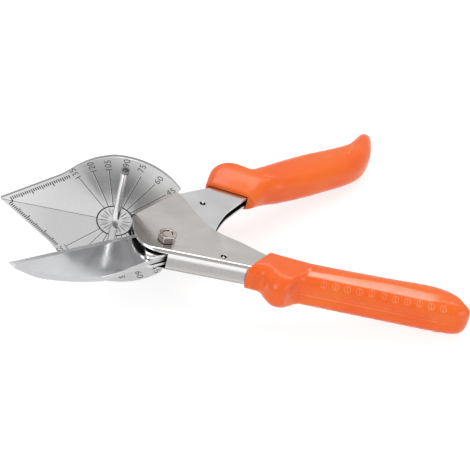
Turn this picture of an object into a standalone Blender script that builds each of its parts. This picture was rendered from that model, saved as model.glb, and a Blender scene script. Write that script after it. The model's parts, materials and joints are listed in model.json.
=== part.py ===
"""Mitre shears: a sprung hand cutter whose blade closes on a round anvil plate marked with mitre angles.

Tool frame: the pivot is at the origin, +Z runs up along the pivot bolt, +X runs back along the closed
handles and the plate's cutting face looks along -Y. The blade side is drawn closed and then opened about
the pivot. At the end the whole tool is laid down on the ground, on the plate's rim and the two grips.
"""

import math

import bmesh
import bpy
import numpy as np
from mathutils import Matrix, Vector

# How far the tool stands open
OPEN_ANGLE = math.radians(35.5)

# Clearances and working tolerances
FIT_GAP = 0.00025
SEAT_GAP = 0.0003
SWEEP_GAP = 0.0008
OVERRUN = 0.005
MERGE_DISTANCE = 0.000001
FLAT_ANGLE = math.radians(0.05)
SHARP_ANGLE = math.radians(35.0)
ROUND_STEPS = 32
ARC_STEPS = 8
FOLD_STEPS = 4

# Stack of sheets along the pivot
SHEET = 0.00135
BLADE_THICKNESS = 0.0024
WASHER_THICKNESS = 0.0004
INNER_GAP_HALF = BLADE_THICKNESS / 2 + FIT_GAP
INNER_HALF = INNER_GAP_HALF + SHEET
OUTER_GAP_HALF = INNER_HALF + WASHER_THICKNESS + 2 * FIT_GAP
OUTER_HALF = OUTER_GAP_HALF + SHEET

# Pivot bolt, nut, bush and washers
BOLT_RADIUS = 0.002
BOLT_HEAD_HEIGHT = 0.0028
BOLT_END_RECESS = 0.0005
HEX_ACROSS_FLATS = 0.007
HEX_CHAMFER = 0.00035
NUT_HEIGHT = 0.0032
NUT_TURN = math.radians(12.0)
BUSH_WALL = 0.0009
WASHER_WIDTH = 0.0016
BUSH_BORE = BOLT_RADIUS + FIT_GAP
BUSH_RADIUS = BUSH_BORE + BUSH_WALL
BUSH_HOLE = BUSH_RADIUS + FIT_GAP
WASHER_RADIUS = BUSH_HOLE + WASHER_WIDTH

# Blade, drawn closed: its edge runs along X at EDGE_OFFSET from the pivot
EDGE_OFFSET = 0.0122
BLADE_REACH = 0.0676
BLADE_DEPTH = 0.0216
BLADE_BEVEL = 0.0030
BLADE_EDGE_LAND = 0.0004
TANG_LENGTH = 0.0115
BLADE_BACK_SHARES = (
    (0.959, 0.22), (0.885, 0.52), (0.784, 0.715), (0.68, 0.86), (0.562, 0.97),
    (0.5, 1.0), (0.385, 0.968), (0.3, 0.917), (0.19, 0.862),
)

# Anvil plate, drawn about the centre of its engraved circle
PLATE_THICKNESS = 0.0020
PLATE_RADIUS = 0.0328
PLATE_CENTRE_REACH = 0.0224
NOSE_LENGTH = 0.0493
NOSE_HALF_ANGLE = math.radians(36.9)
NOSE_EDGE = 0.0295
SHOULDER_SHARES = ((-0.713, 0.613), (-0.579, 0.753), (-0.442, 0.863), (-0.299, 0.939))
SHOULDER_END_ANGLE = math.radians(100.0)
NOTCH_ANGLE = math.radians(45.0)
NOTCH_MARGIN = 0.0017
TONGUE_REACH = 0.0087
PLATE_FACE = EDGE_OFFSET + SEAT_GAP
PLATE_BACK = PLATE_FACE + PLATE_THICKNESS
RIM_STEPS = 20

# Round fence bars on the plate's face
RIB_RADIUS = 0.0016
RIB_RISE = 0.0005
RIB_START = 0.0030
RIB_END = 0.0275

# Outer channel
OUTER_SPINE = 0.0083
OUTER_SPINE_START = 0.0016
OUTER_LENGTH = 0.112
SPINE_ROUND = 0.0016
LIP_REACH = 0.0155
LIP_SHARES = ((0.99, -1.2), (0.935, -0.566), (0.82, 0.096), (0.69, 0.518), (0.47, 0.813), (0.232, 0.964))
FLANGE_REACH = 0.0270
OUTER_MOUTH_REACH = 0.0417
WALL_HEIGHT = 0.0345
FIN_SHARES = ((1.0, 0.56), (0.8, 0.78), (0.42, 0.97), (0.08, 1.04))
OUTER_EDGE_SHARES = ((0.08, 1.0), (0.285, 0.639), (0.489, 0.374), (0.772, 0.229), (1.0, 0.096), (1.2, 0.035))
OUTER_END_WIDTH = 0.0080

# Block between the outer walls that carries the plate, with its cross rivets
BRACKET_LENGTH = 0.0100
BRACKET_DEPTH = 0.0060
RIVET_RADIUS = 0.0015
RIVET_HEAD_RADIUS = 0.0023
RIVET_HEAD_HEIGHT = 0.0009
BRACKET_RIVET_PITCH = 0.0054

# Inner channel, drawn closed
INNER_SPINE = 0.0297
INNER_SPINE_START = 0.0090
INNER_LENGTH = 0.112
INNER_NOSE_REACH = 0.0121
INNER_NOSE_DROP = 0.0065
INNER_NOSE_ROUND = 0.0025
INNER_FRONT_SHARES = ((0.75, 0.064), (0.66, 0.27), (0.62, 0.42))
BELLY_RADIUS = 0.0064
BELLY_START_ANGLE = math.radians(250.0)
BELLY_END_ANGLE = math.radians(285.0)
INNER_MOUTH_REACH = 0.0520
INNER_EDGE_SHARES = (
    (0.231, -0.185), (0.327, -0.141), (0.423, -0.054), (0.504, 0.045), (0.606, 0.202),
    (0.723, 0.345), (0.835, 0.44), (1.0, 0.56), (1.115, 0.62), (1.23, 0.646),
)
INNER_END_WIDTH = 0.0092

# Rivets through the blade and the inner walls, on a circle round the pivot
BLADE_RIVET_RADIUS = 0.00125
BLADE_RIVET_HEAD_RADIUS = 0.0021
BLADE_RIVET_HEAD_HEIGHT = 0.0003
BLADE_RIVET_CIRCLE = 0.0080
BLADE_RIVET_ANGLES = {"front": math.radians(96.0), "rear": math.radians(15.0)}

# Return spring: one coil with two legs hooked through a hole in each channel
SPRING_WIRE = 0.0010
SPRING_COIL = 0.0036
SPRING_COIL_X = 0.0145
SPRING_COIL_Y = 0.0150
SPRING_POINTS = 10
SPRING_HOLE = 0.0013
SPRING_HOOK_RISE = 0.0004
SPRING_BEND_SHARE = 0.3
SPRING_SELF_GAP = 0.0005
OUTER_HOLE = (0.0248, -0.0042)
INNER_HOLE = (0.0310, 0.0195)

# Grips. Tables give (share of the grip's length, share of its width): how far it stands out past the
# spine on the outer side, and how far it reaches in from the spine on the inner side
GRIP_HALF_THICKNESS = 0.0083
GRIP_MOUTH_WALL = 0.0017
GRIP_CORNER = 0.0042
GRIP_CORNER_LIMIT_SHARE = 0.96
GRIP_WIDTH = 0.0141
GRIP_CORNER_STEPS = 5
GRIP_STATIONS = 30
GRIP_SWELL_SHARE = 0.14
GRIP_END_SHARE = 0.085
GRIP_END_THICKNESS_SHARE = 0.45
ANVIL_GRIP_START = 0.0351
ANVIL_GRIP_LENGTH = 0.0966
ANVIL_GRIP_SLANT = 0.0102
ANVIL_GRIP_OUT_SHARES = (
    (0.0, 0.14), (0.031, 0.156), (0.067, 0.23), (0.094, 0.5), (0.125, 0.72), (0.167, 0.735), (0.202, 0.54),
    (0.235, 0.3), (0.281, 0.27), (0.435, 0.29), (0.632, 0.312), (0.827, 0.34), (0.921, 0.35),
    (0.962, 0.31), (0.988, 0.2), (1.0, 0.1),
)
ANVIL_GRIP_IN_SHARES = (
    (0.0, 0.955), (0.078, 0.95), (0.156, 0.83), (0.259, 0.73), (0.342, 0.695), (0.632, 0.723), (0.794, 0.766),
    (0.879, 0.69), (0.941, 0.47), (0.978, 0.16), (1.0, 0.02),
)
BLADE_GRIP_START = 0.0397
BLADE_GRIP_LENGTH = 0.0950
BLADE_GRIP_SLANT = 0.0160
BLADE_GRIP_OUT_SHARES = (
    (0.0, 0.07), (0.03, 0.3), (0.079, 0.61), (0.125, 0.7), (0.161, 0.6), (0.192, 0.28), (0.225, 0.15),
    (0.285, 0.15), (0.415, 0.24), (0.56, 0.32), (0.7, 0.33), (0.834, 0.385), (0.903, 0.56),
    (0.963, 0.78), (1.0, 0.76),
)
BLADE_GRIP_IN_SHARES = (
    (0.0, 1.08), (0.156, 1.057), (0.2, 0.986), (0.258, 0.87), (0.376, 0.88), (0.495, 0.885), (0.624, 0.83),
    (0.76, 0.75), (0.857, 0.59), (0.932, 0.262), (0.973, -0.18), (1.0, -0.56),
)

PARTS = "mitre_shears"
CUTTERS = "cutters"
UP = Vector((0, 0, 1))


def clear_scene():
    for thing in list(bpy.data.objects):
        bpy.data.objects.remove(thing, do_unlink=True)


def new_collection(name):
    group = bpy.data.collections.new(name)
    bpy.context.scene.collection.children.link(group)
    return group


def new_material(name, colour, roughness, metallic):
    material = bpy.data.materials.new(name)
    material.use_nodes = True
    shader = material.node_tree.nodes["Principled BSDF"]
    shader.inputs["Base Color"].default_value = (*colour, 1.0)
    shader.inputs["Roughness"].default_value = roughness
    shader.inputs["Metallic"].default_value = metallic
    return material


def turned(point, angle):
    """Turn a plan point about the pivot."""
    c, s = math.cos(angle), math.sin(angle)
    return (point[0] * c - point[1] * s, point[0] * s + point[1] * c)


def polar(radius, angle, centre=(0, 0)):
    return (centre[0] + radius * math.cos(angle), centre[1] + radius * math.sin(angle))


def arc(radius, start, end, centre=(0, 0), steps=ARC_STEPS):
    """Points on an arc, both ends included."""
    return [polar(radius, a, centre) for a in np.linspace(start, end, steps + 1)]


def scaled(shares, width, height):
    """Turn a table of shares into plan points."""
    return [(width * x, height * y) for x, y in shares]


def smooth(points, steps=4):
    """Catmull-Rom curve through plan points, both ends included."""
    guide = [points[0], *points, points[-1]]
    out = []
    for i in range(1, len(guide) - 2):
        p0, p1, p2, p3 = (np.array(p, dtype=float) for p in guide[i - 1:i + 3])
        for t in np.linspace(0, 1, steps, endpoint=False):
            bend = (2 * p0 - 5 * p1 + 4 * p2 - p3) * t**2 + (3 * p1 - p0 - 3 * p2 + p3) * t**3
            out.append(tuple((2 * p1 + (p2 - p0) * t + bend) / 2))
    out.append(tuple(points[-1]))
    return out


def prism(name, outline, low, high):
    """Closed solid over a plan outline, from z = low to z = high, with flat caps."""
    curve = bpy.data.curves.new(name + "_outline", "CURVE")
    curve.dimensions = "2D"
    curve.fill_mode = "BOTH"
    curve.extrude = (high - low) / 2
    spline = curve.splines.new("POLY")
    spline.points.add(len(outline) - 1)
    for point, (x, y) in zip(spline.points, outline):
        point.co = (x, y, 0, 1)
    spline.use_cyclic_u = True
    drawn = bpy.data.objects.new(name + "_outline", curve)
    bpy.context.scene.collection.objects.link(drawn)
    bpy.context.view_layer.update()
    mesh = bpy.data.meshes.new_from_object(drawn.evaluated_get(bpy.context.evaluated_depsgraph_get()))
    bpy.data.objects.remove(drawn)
    form = bmesh.new()
    form.from_mesh(mesh)
    bmesh.ops.remove_doubles(form, verts=form.verts, dist=MERGE_DISTANCE)
    bmesh.ops.dissolve_limit(form, angle_limit=FLAT_ANGLE, verts=form.verts, edges=form.edges)
    bmesh.ops.recalc_face_normals(form, faces=form.faces)
    bmesh.ops.translate(form, verts=form.verts, vec=(0, 0, (low + high) / 2))
    form.to_mesh(mesh)
    form.free()
    mesh.name = name
    return bpy.data.objects.new(name, mesh)


def box(name, low, high):
    """Box between two opposite corners, from a unit cube."""
    mesh = bpy.data.meshes.new(name)
    form = bmesh.new()
    bmesh.ops.create_cube(form, size=1)
    size = Vector(high) - Vector(low)
    bmesh.ops.scale(form, verts=form.verts, vec=size)
    bmesh.ops.translate(form, verts=form.verts, vec=(Vector(high) + Vector(low)) / 2)
    form.to_mesh(mesh)
    form.free()
    return bpy.data.objects.new(name, mesh)


def revolved(name, profile):
    """Solid of revolution about Z from (radius, height) pairs that run down the outer side."""
    mesh = bpy.data.meshes.new(name)
    mesh.from_pydata([(r, 0, z) for r, z in profile], [(i, i + 1) for i in range(len(profile) - 1)], [])
    thing = bpy.data.objects.new(name, mesh)
    screw = thing.modifiers.new("turn", "SCREW")
    screw.steps = ROUND_STEPS
    screw.render_steps = ROUND_STEPS
    screw.use_merge_vertices = True
    screw.merge_threshold = MERGE_DISTANCE
    return thing


def ring(name, bore, radius, low, high):
    return revolved(name, [(bore, high), (radius, high), (radius, low), (bore, low), (bore, high)])


def pin(name, radius, low, high):
    return revolved(name, [(0, high), (radius, high), (radius, low), (0, low)])


def rivet(name, radius, head_radius, head_height, half_grip):
    """Round rivet about Z with a flat head on both sides of what it holds."""
    top = half_grip + head_height
    return revolved(name, [
        (0, top), (head_radius, top), (head_radius, half_grip), (radius, half_grip),
        (radius, -half_grip), (head_radius, -half_grip), (head_radius, -top), (0, -top),
    ])


class Shears:
    """The collections, the two frames of the tool and the steps that add or cut a piece."""

    def __init__(self):
        self.parts = new_collection(PARTS)
        self.cutters = new_collection(CUTTERS)
        self.tool = self.add_frame("tool_frame")
        self.swing = self.add_frame("blade_pivot_axis", self.tool)
        self.swing.rotation_euler.z = OPEN_ANGLE
        self.steel = new_material("polished_steel", (0.72, 0.71, 0.70), 0.25, 1.0)
        self.blade_steel = new_material("mirror_steel", (0.80, 0.80, 0.82), 0.10, 1.0)
        self.plate_steel = new_material("brushed_steel", (0.70, 0.70, 0.70), 0.32, 1.0)
        self.nickel = new_material("bright_nickel", (0.75, 0.70, 0.64), 0.20, 1.0)
        self.spring_steel = new_material("spring_steel", (0.45, 0.45, 0.46), 0.30, 1.0)
        self.grip_plastic = new_material("orange_grip", (1.0, 0.16, 0.04), 0.30, 0.0)

    def add_frame(self, name, parent=None):
        frame = bpy.data.objects.new(name, None)
        self.parts.objects.link(frame)
        frame.parent = parent
        return frame

    def add(self, thing, material, moving=False):
        self.parts.objects.link(thing)
        thing.parent = self.swing if moving else self.tool
        thing.data.materials.clear()
        thing.data.materials.append(material)
        thing.data.shade_smooth()
        thing.data.set_sharp_from_angle(angle=SHARP_ANGLE)
        return thing

    def cut(self, thing, cutter, operation="DIFFERENCE"):
        self.cutters.objects.link(cutter)
        cutter.parent = thing.parent
        cutter.hide_render = True
        cutter.display_type = "WIRE"
        boolean = thing.modifiers.new(cutter.name, "BOOLEAN")
        boolean.operation = operation
        boolean.object = cutter
        boolean.solver = "EXACT"

    def drill(self, thing, name, radius, centre, half_length):
        """Round hole along Z through a piece."""
        cutter = pin(name, radius, -half_length - OVERRUN, half_length + OVERRUN)
        cutter.location = (centre[0], centre[1], 0)
        self.cut(thing, cutter)


def folded_bar(name, spine_y, far_y, half, low_x, high_x):
    """Bar along X with a channel's outer section: the two corners on its spine follow the fold."""
    outward = math.copysign(SPINE_ROUND, spine_y - far_y)
    fold = [
        (spine_y + outward * (math.sin(a) - 1), half + SPINE_ROUND * (math.cos(a) - 1))
        for a in np.linspace(0, math.pi / 2, FOLD_STEPS + 1)
    ]
    outline = [(far_y, half), *fold, *[(y, -z) for y, z in fold[::-1]], (far_y, -half)]
    bar = prism(name, outline, low_x, high_x)
    bar.data.transform(Matrix(((0, 0, 1, 0), (1, 0, 0, 0), (0, 1, 0, 0), (0, 0, 0, 1))))
    return bar


def outer_open_edge():
    """Open edge of the outer walls, from the fin over the plate back to the end of the handle."""
    fin = [(-x, y) for x, y in scaled(FIN_SHARES, FLANGE_REACH, WALL_HEIGHT)]
    edge = scaled(OUTER_EDGE_SHARES, OUTER_MOUTH_REACH, WALL_HEIGHT)
    return smooth(fin + edge) + [(OUTER_LENGTH, OUTER_END_WIDTH - OUTER_SPINE)]


def inner_open_edge():
    """Open edge of the inner walls, drawn closed, from below the pivot back to the end of the handle."""
    edge = smooth(scaled(INNER_EDGE_SHARES, INNER_MOUTH_REACH, INNER_SPINE))
    return edge + [(INNER_LENGTH, INNER_SPINE - INNER_END_WIDTH)]


def make_anvil_body(shears):
    lip = [(-x, -y) for x, y in scaled(LIP_SHARES, LIP_REACH, OUTER_SPINE)]
    fin_foot = PLATE_BACK + SEAT_GAP
    outline = [
        *smooth([(-LIP_REACH, PLATE_FACE - SEAT_GAP), *lip, (OUTER_SPINE_START - SHEET, -OUTER_SPINE)]),
        (OUTER_SPINE_START - SHEET, -OUTER_SPINE - OVERRUN),
        (OUTER_LENGTH, -OUTER_SPINE - OVERRUN),
        *outer_open_edge()[::-1],
        (-FLANGE_REACH, fin_foot),
        (-LIP_REACH, fin_foot),
    ]
    body = prism("anvil_body", outline, -OUTER_HALF - OVERRUN, OUTER_HALF + OVERRUN)
    shears.add(body, shears.steel)
    inside = -OUTER_SPINE + SHEET
    near = -FLANGE_REACH - OVERRUN
    far = OUTER_LENGTH + OVERRUN
    high = WALL_HEIGHT + OVERRUN
    shears.cut(body, folded_bar("outer_section", -OUTER_SPINE, high, OUTER_HALF, near, far), "INTERSECT")
    hollow = [
        (near, -OUTER_SPINE - OVERRUN), (OUTER_SPINE_START, -OUTER_SPINE - OVERRUN), (OUTER_SPINE_START, inside),
        (far, inside), (far, high), (near, high),
    ]
    shears.cut(body, prism("outer_hollow", hollow, -OUTER_GAP_HALF, OUTER_GAP_HALF))
    shears.drill(body, "outer_pivot_hole", BUSH_BORE, (0, 0), OUTER_HALF)
    shears.drill(body, "outer_spring_hole", SPRING_HOLE, OUTER_HOLE, OUTER_HALF)
    for side, centre in bracket_rivet_places().items():
        shears.drill(body, "body_rivet_hole_" + side, RIVET_RADIUS + FIT_GAP, centre, OUTER_HALF)


def bracket_corner():
    """Rear right corner of the block behind the plate, nearest to the pivot along X."""
    return (-LIP_REACH - SWEEP_GAP, PLATE_BACK + SEAT_GAP)


def bracket_rivet_places():
    right, front = bracket_corner()
    middle_x = right - BRACKET_LENGTH / 2
    middle_y = front + BRACKET_DEPTH / 2
    return {
        "front": (middle_x - BRACKET_RIVET_PITCH / 2, middle_y),
        "rear": (middle_x + BRACKET_RIVET_PITCH / 2, middle_y),
    }


def make_bracket(shears):
    right, front = bracket_corner()
    half = OUTER_GAP_HALF - SEAT_GAP
    left, back = right - BRACKET_LENGTH, front + BRACKET_DEPTH
    bracket = box("plate_bracket", (left, front, -half), (right, back, half))
    shears.add(bracket, shears.steel)
    for side, centre in bracket_rivet_places().items():
        shears.drill(bracket, "bracket_rivet_hole_" + side, RIVET_RADIUS + FIT_GAP, centre, half)
        held = rivet(
            "bracket_rivet_" + side, RIVET_RADIUS, RIVET_HEAD_RADIUS, RIVET_HEAD_HEIGHT, OUTER_HALF + FIT_GAP)
        held.location = (centre[0], centre[1], 0)
        shears.add(held, shears.nickel)


def upper_plate_outline():
    """Half of the plate above its middle line, as (x, z) about the circle's centre, from nose to tongue."""
    nose = (-NOSE_LENGTH, 0)
    edge_end = polar(NOSE_EDGE, NOSE_HALF_ANGLE, nose)
    shoulder = scaled(SHOULDER_SHARES, PLATE_RADIUS, PLATE_RADIUS)
    rim_start = polar(PLATE_RADIUS, SHOULDER_END_ANGLE)
    rim_end_angle = NOTCH_ANGLE - math.asin(NOTCH_MARGIN / PLATE_RADIUS)
    slot_top = OUTER_HALF + SEAT_GAP
    slot_bottom = OUTER_GAP_HALF - SEAT_GAP
    slot_end = PLATE_CENTRE_REACH - LIP_REACH - SEAT_GAP
    notch_foot = (slot_top + NOTCH_MARGIN / math.cos(NOTCH_ANGLE)) / math.tan(NOTCH_ANGLE)
    return [
        nose,
        *smooth([edge_end, *shoulder, rim_start])[:-1],
        *arc(PLATE_RADIUS, SHOULDER_END_ANGLE, rim_end_angle, steps=RIM_STEPS),
        (notch_foot, slot_top),
        (slot_end, slot_top),
        (slot_end, slot_bottom),
        (TONGUE_REACH, slot_bottom),
    ]


def make_plate(shears):
    upper = upper_plate_outline()
    lower = [(x, -z) for x, z in upper[:0:-1]]
    plate = prism("anvil_plate", upper + lower, -PLATE_BACK, -PLATE_FACE)
    stand_up = Matrix.Rotation(math.radians(90), 4, "X")
    plate.data.transform(Matrix.Translation((-PLATE_CENTRE_REACH, 0, 0)) @ stand_up)
    shears.add(plate, shears.plate_steel)


def make_ribs(shears):
    axis = (-PLATE_CENTRE_REACH, PLATE_FACE - SEAT_GAP - RIB_RISE)
    flat_angle = math.asin(RIB_RISE / RIB_RADIUS)
    outline = arc(RIB_RADIUS, math.pi - flat_angle, 2 * math.pi + flat_angle, axis, RIM_STEPS)
    shears.add(prism("fence_rib_upper", outline, RIB_START, RIB_END), shears.plate_steel)
    shears.add(prism("fence_rib_lower", outline, -RIB_END, -RIB_START), shears.plate_steel)


def inner_front_edge():
    """Front edge of the inner walls, drawn closed. It passes the plate's tongue and the block as it swings."""
    tongue = (TONGUE_REACH - PLATE_CENTRE_REACH, PLATE_FACE)
    sweep_radius = math.hypot(*tongue) - SWEEP_GAP
    sweep_end = math.atan2(tongue[1], tongue[0]) - OPEN_ANGLE - SWEEP_GAP / sweep_radius
    front = [(-x, y) for x, y in scaled(INNER_FRONT_SHARES, INNER_NOSE_REACH, INNER_SPINE)]
    sweep_start = math.atan2(front[-1][1], front[-1][0])
    return [*front, *arc(sweep_radius, (sweep_start + sweep_end) / 2, sweep_end)]


def make_blade_body(shears):
    corner = (-INNER_NOSE_REACH + INNER_NOSE_ROUND, -INNER_NOSE_DROP + INNER_NOSE_ROUND)
    belly = arc(BELLY_RADIUS, BELLY_START_ANGLE, BELLY_END_ANGLE)
    step = INNER_NOSE_DROP + belly[0][1]
    outline = [
        *arc(INNER_NOSE_ROUND, math.pi, 3 * math.pi / 2, corner),
        (belly[0][0] - step, -INNER_NOSE_DROP),
        *belly,
        *inner_open_edge(),
        (INNER_LENGTH, INNER_SPINE + OVERRUN),
        (INNER_SPINE_START, INNER_SPINE + OVERRUN),
        (INNER_SPINE_START, INNER_SPINE),
        *inner_front_edge()[::-1],
    ]
    body = prism("blade_body", outline, -INNER_HALF - OVERRUN, INNER_HALF + OVERRUN)
    shears.add(body, shears.steel, moving=True)
    near, far = -INNER_NOSE_REACH - OVERRUN, INNER_LENGTH + OVERRUN
    low_y = -INNER_NOSE_DROP - OVERRUN
    shears.cut(body, folded_bar("inner_section", INNER_SPINE, low_y, INNER_HALF, near, far), "INTERSECT")
    low = (near, low_y, -INNER_GAP_HALF)
    high = (far, INNER_SPINE - SHEET, INNER_GAP_HALF)
    shears.cut(body, box("inner_hollow", low, high))
    shears.drill(body, "inner_pivot_hole", BUSH_HOLE, (0, 0), INNER_HALF)
    shears.drill(body, "inner_spring_hole", SPRING_HOLE, INNER_HOLE, INNER_HALF)
    for side, angle in BLADE_RIVET_ANGLES.items():
        centre = polar(BLADE_RIVET_CIRCLE, angle)
        shears.drill(body, "wall_rivet_hole_" + side, BLADE_RIVET_RADIUS + FIT_GAP, centre, INNER_HALF)


def make_blade(shears):
    back = [(-BLADE_REACH * x, EDGE_OFFSET - BLADE_DEPTH * y) for x, y in BLADE_BACK_SHARES]
    tang_belly = BELLY_RADIUS - SEAT_GAP
    outline = [
        (-BLADE_REACH, EDGE_OFFSET),
        *smooth([(-BLADE_REACH, EDGE_OFFSET), *back])[1:],
        *arc(tang_belly, BELLY_START_ANGLE, BELLY_END_ANGLE),
        (TANG_LENGTH, -tang_belly / 2),
        (TANG_LENGTH, EDGE_OFFSET),
    ]
    half = BLADE_THICKNESS / 2
    blade = prism("blade", outline, -half, half)
    shears.add(blade, shears.blade_steel, moving=True)
    slope = math.atan2(half - BLADE_EDGE_LAND / 2, BLADE_BEVEL)
    for name, side in (("bevel_upper", 1), ("bevel_lower", -1)):
        low = (-BLADE_REACH - OVERRUN, -OVERRUN, 0)
        high = (TANG_LENGTH + OVERRUN, BLADE_BEVEL + OVERRUN, OVERRUN)
        wedge = box(name, low, high)
        wedge.data.transform(Matrix.Rotation(-slope, 4, "X"))
        if side < 0:
            wedge.data.transform(Matrix.Scale(-1, 4, UP))
            wedge.data.flip_normals()
        wedge.location = (0, EDGE_OFFSET - BLADE_BEVEL, side * half)
        shears.cut(blade, wedge)
    shears.drill(blade, "blade_pivot_hole", BUSH_HOLE, (0, 0), half)
    for side, angle in BLADE_RIVET_ANGLES.items():
        centre = polar(BLADE_RIVET_CIRCLE, angle)
        shears.drill(blade, "blade_rivet_hole_" + side, BLADE_RIVET_RADIUS + FIT_GAP, centre, half)
        held = rivet(
            "blade_rivet_" + side, BLADE_RIVET_RADIUS, BLADE_RIVET_HEAD_RADIUS, BLADE_RIVET_HEAD_HEIGHT,
            INNER_HALF + FIT_GAP)
        held.location = (centre[0], centre[1], 0)
        shears.add(held, shears.nickel, moving=True)


def make_hex(shears, name, low, high):
    """Hexagonal block about Z with its corners turned off at both ends."""
    corner = HEX_ACROSS_FLATS / math.sqrt(3)
    outline = [polar(corner, NUT_TURN + math.pi * k / 3) for k in range(6)]
    block = prism(name, outline, low, high)
    shears.add(block, shears.nickel)
    rim = corner - HEX_CHAMFER
    wide = corner + HEX_CHAMFER
    profile = [
        (0, high), (rim, high), (wide, high - 2 * HEX_CHAMFER), (wide, low + 2 * HEX_CHAMFER), (rim, low), (0, low)]
    shears.cut(block, revolved(name + "_chamfer", profile), "INTERSECT")
    return block


def make_pivot(shears):
    seat = OUTER_HALF + FIT_GAP
    nut_top = seat + NUT_HEIGHT
    nut = make_hex(shears, "pivot_nut", seat, nut_top)
    shears.drill(nut, "nut_thread", BUSH_BORE, (0, 0), nut_top)
    head = make_hex(shears, "pivot_bolt", -seat - BOLT_HEAD_HEIGHT, -seat)
    shank = pin("bolt_shank", BOLT_RADIUS, -seat - BOLT_HEAD_HEIGHT / 2, nut_top - BOLT_END_RECESS)
    shears.cut(head, shank, "UNION")
    inside = OUTER_GAP_HALF - FIT_GAP
    shears.add(ring("pivot_bush", BUSH_BORE, BUSH_RADIUS, -inside, inside), shears.steel)
    base = INNER_HALF + FIT_GAP
    washer_top = base + WASHER_THICKNESS
    shears.add(ring("pivot_washer_upper", BUSH_HOLE, WASHER_RADIUS, base, washer_top), shears.steel)
    shears.add(ring("pivot_washer_lower", BUSH_HOLE, WASHER_RADIUS, -washer_top, -base), shears.steel)


def spring_path():
    """Middle line of the spring: up the outer hook, along a leg, round the coil and out to the inner hook."""
    coil_centre = (SPRING_COIL_X, SPRING_COIL_Y)
    inner_hole = turned(INNER_HOLE, OPEN_ANGLE)
    level = (SPRING_WIRE + SPRING_SELF_GAP) / 2
    bearings = []
    for hole, side in ((OUTER_HOLE, 1), (inner_hole, -1)):
        away = math.atan2(hole[1] - coil_centre[1], hole[0] - coil_centre[0])
        distance = math.hypot(hole[0] - coil_centre[0], hole[1] - coil_centre[1])
        bearings.append(away + side * math.acos(SPRING_COIL / distance))
    start, end = bearings
    while end < start + math.pi:
        end += 2 * math.pi
    count = round(SPRING_POINTS * (end - start) / (2 * math.pi))
    coil = [
        (*polar(SPRING_COIL, start + (end - start) * k / count, coil_centre), level * (2 * k / count - 1))
        for k in range(count + 1)
    ]
    bend = SPRING_WIRE

    def hook(hole, touch, leg_level, tip):
        """Points from a hook's tip down to its leg, rounded at the corner."""
        run = Vector((touch[0] - hole[0], touch[1] - hole[1], 0)).normalized()
        corner = Vector((hole[0], hole[1], leg_level))
        return [
            tuple(corner + UP * (tip - leg_level)),
            tuple(corner + UP * bend),
            tuple(corner + (UP + run) * bend * SPRING_BEND_SHARE),
            tuple(corner + run * bend),
        ]

    outer_hook = hook(OUTER_HOLE, coil[0], -level, OUTER_HALF - SPRING_HOOK_RISE)
    inner_hook = hook(inner_hole, coil[-1], level, INNER_HALF + SPRING_HOOK_RISE)
    return outer_hook + coil + inner_hook[::-1]


def least_self_gap(path, reach):
    """Least clear distance between stretches of wire that are further than reach apart along it."""
    dense = []
    for a, b in zip(path, path[1:]):
        steps = max(2, round((Vector(b) - Vector(a)).length / SPRING_WIRE * 4))
        dense += [Vector(a).lerp(Vector(b), k / steps) for k in range(steps)]
    along = np.cumsum([0.0] + [(q - p).length for p, q in zip(dense, dense[1:])])
    places = np.array(dense)
    gaps = np.linalg.norm(places[:, None] - places[None, :], axis=2)
    far = np.abs(along[:, None] - along[None, :]) > reach
    return gaps[far].min() - SPRING_WIRE


def make_spring(shears):
    path = spring_path()
    curve = bpy.data.curves.new("return_spring", "CURVE")
    curve.dimensions = "3D"
    curve.bevel_depth = SPRING_WIRE / 2
    curve.bevel_resolution = 1
    curve.use_fill_caps = True
    curve.render_resolution_u = 0
    spline = curve.splines.new("POLY")
    spline.points.add(len(path) - 1)
    for point, place in zip(spline.points, path):
        point.co = (*place, 1)
    spring = bpy.data.objects.new("return_spring", curve)
    shears.parts.objects.link(spring)
    spring.parent = shears.tool
    curve.materials.append(shears.spring_steel)
    print("spring: least gap to itself", round(least_self_gap(path, math.pi * SPRING_COIL), 6), "m")


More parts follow.
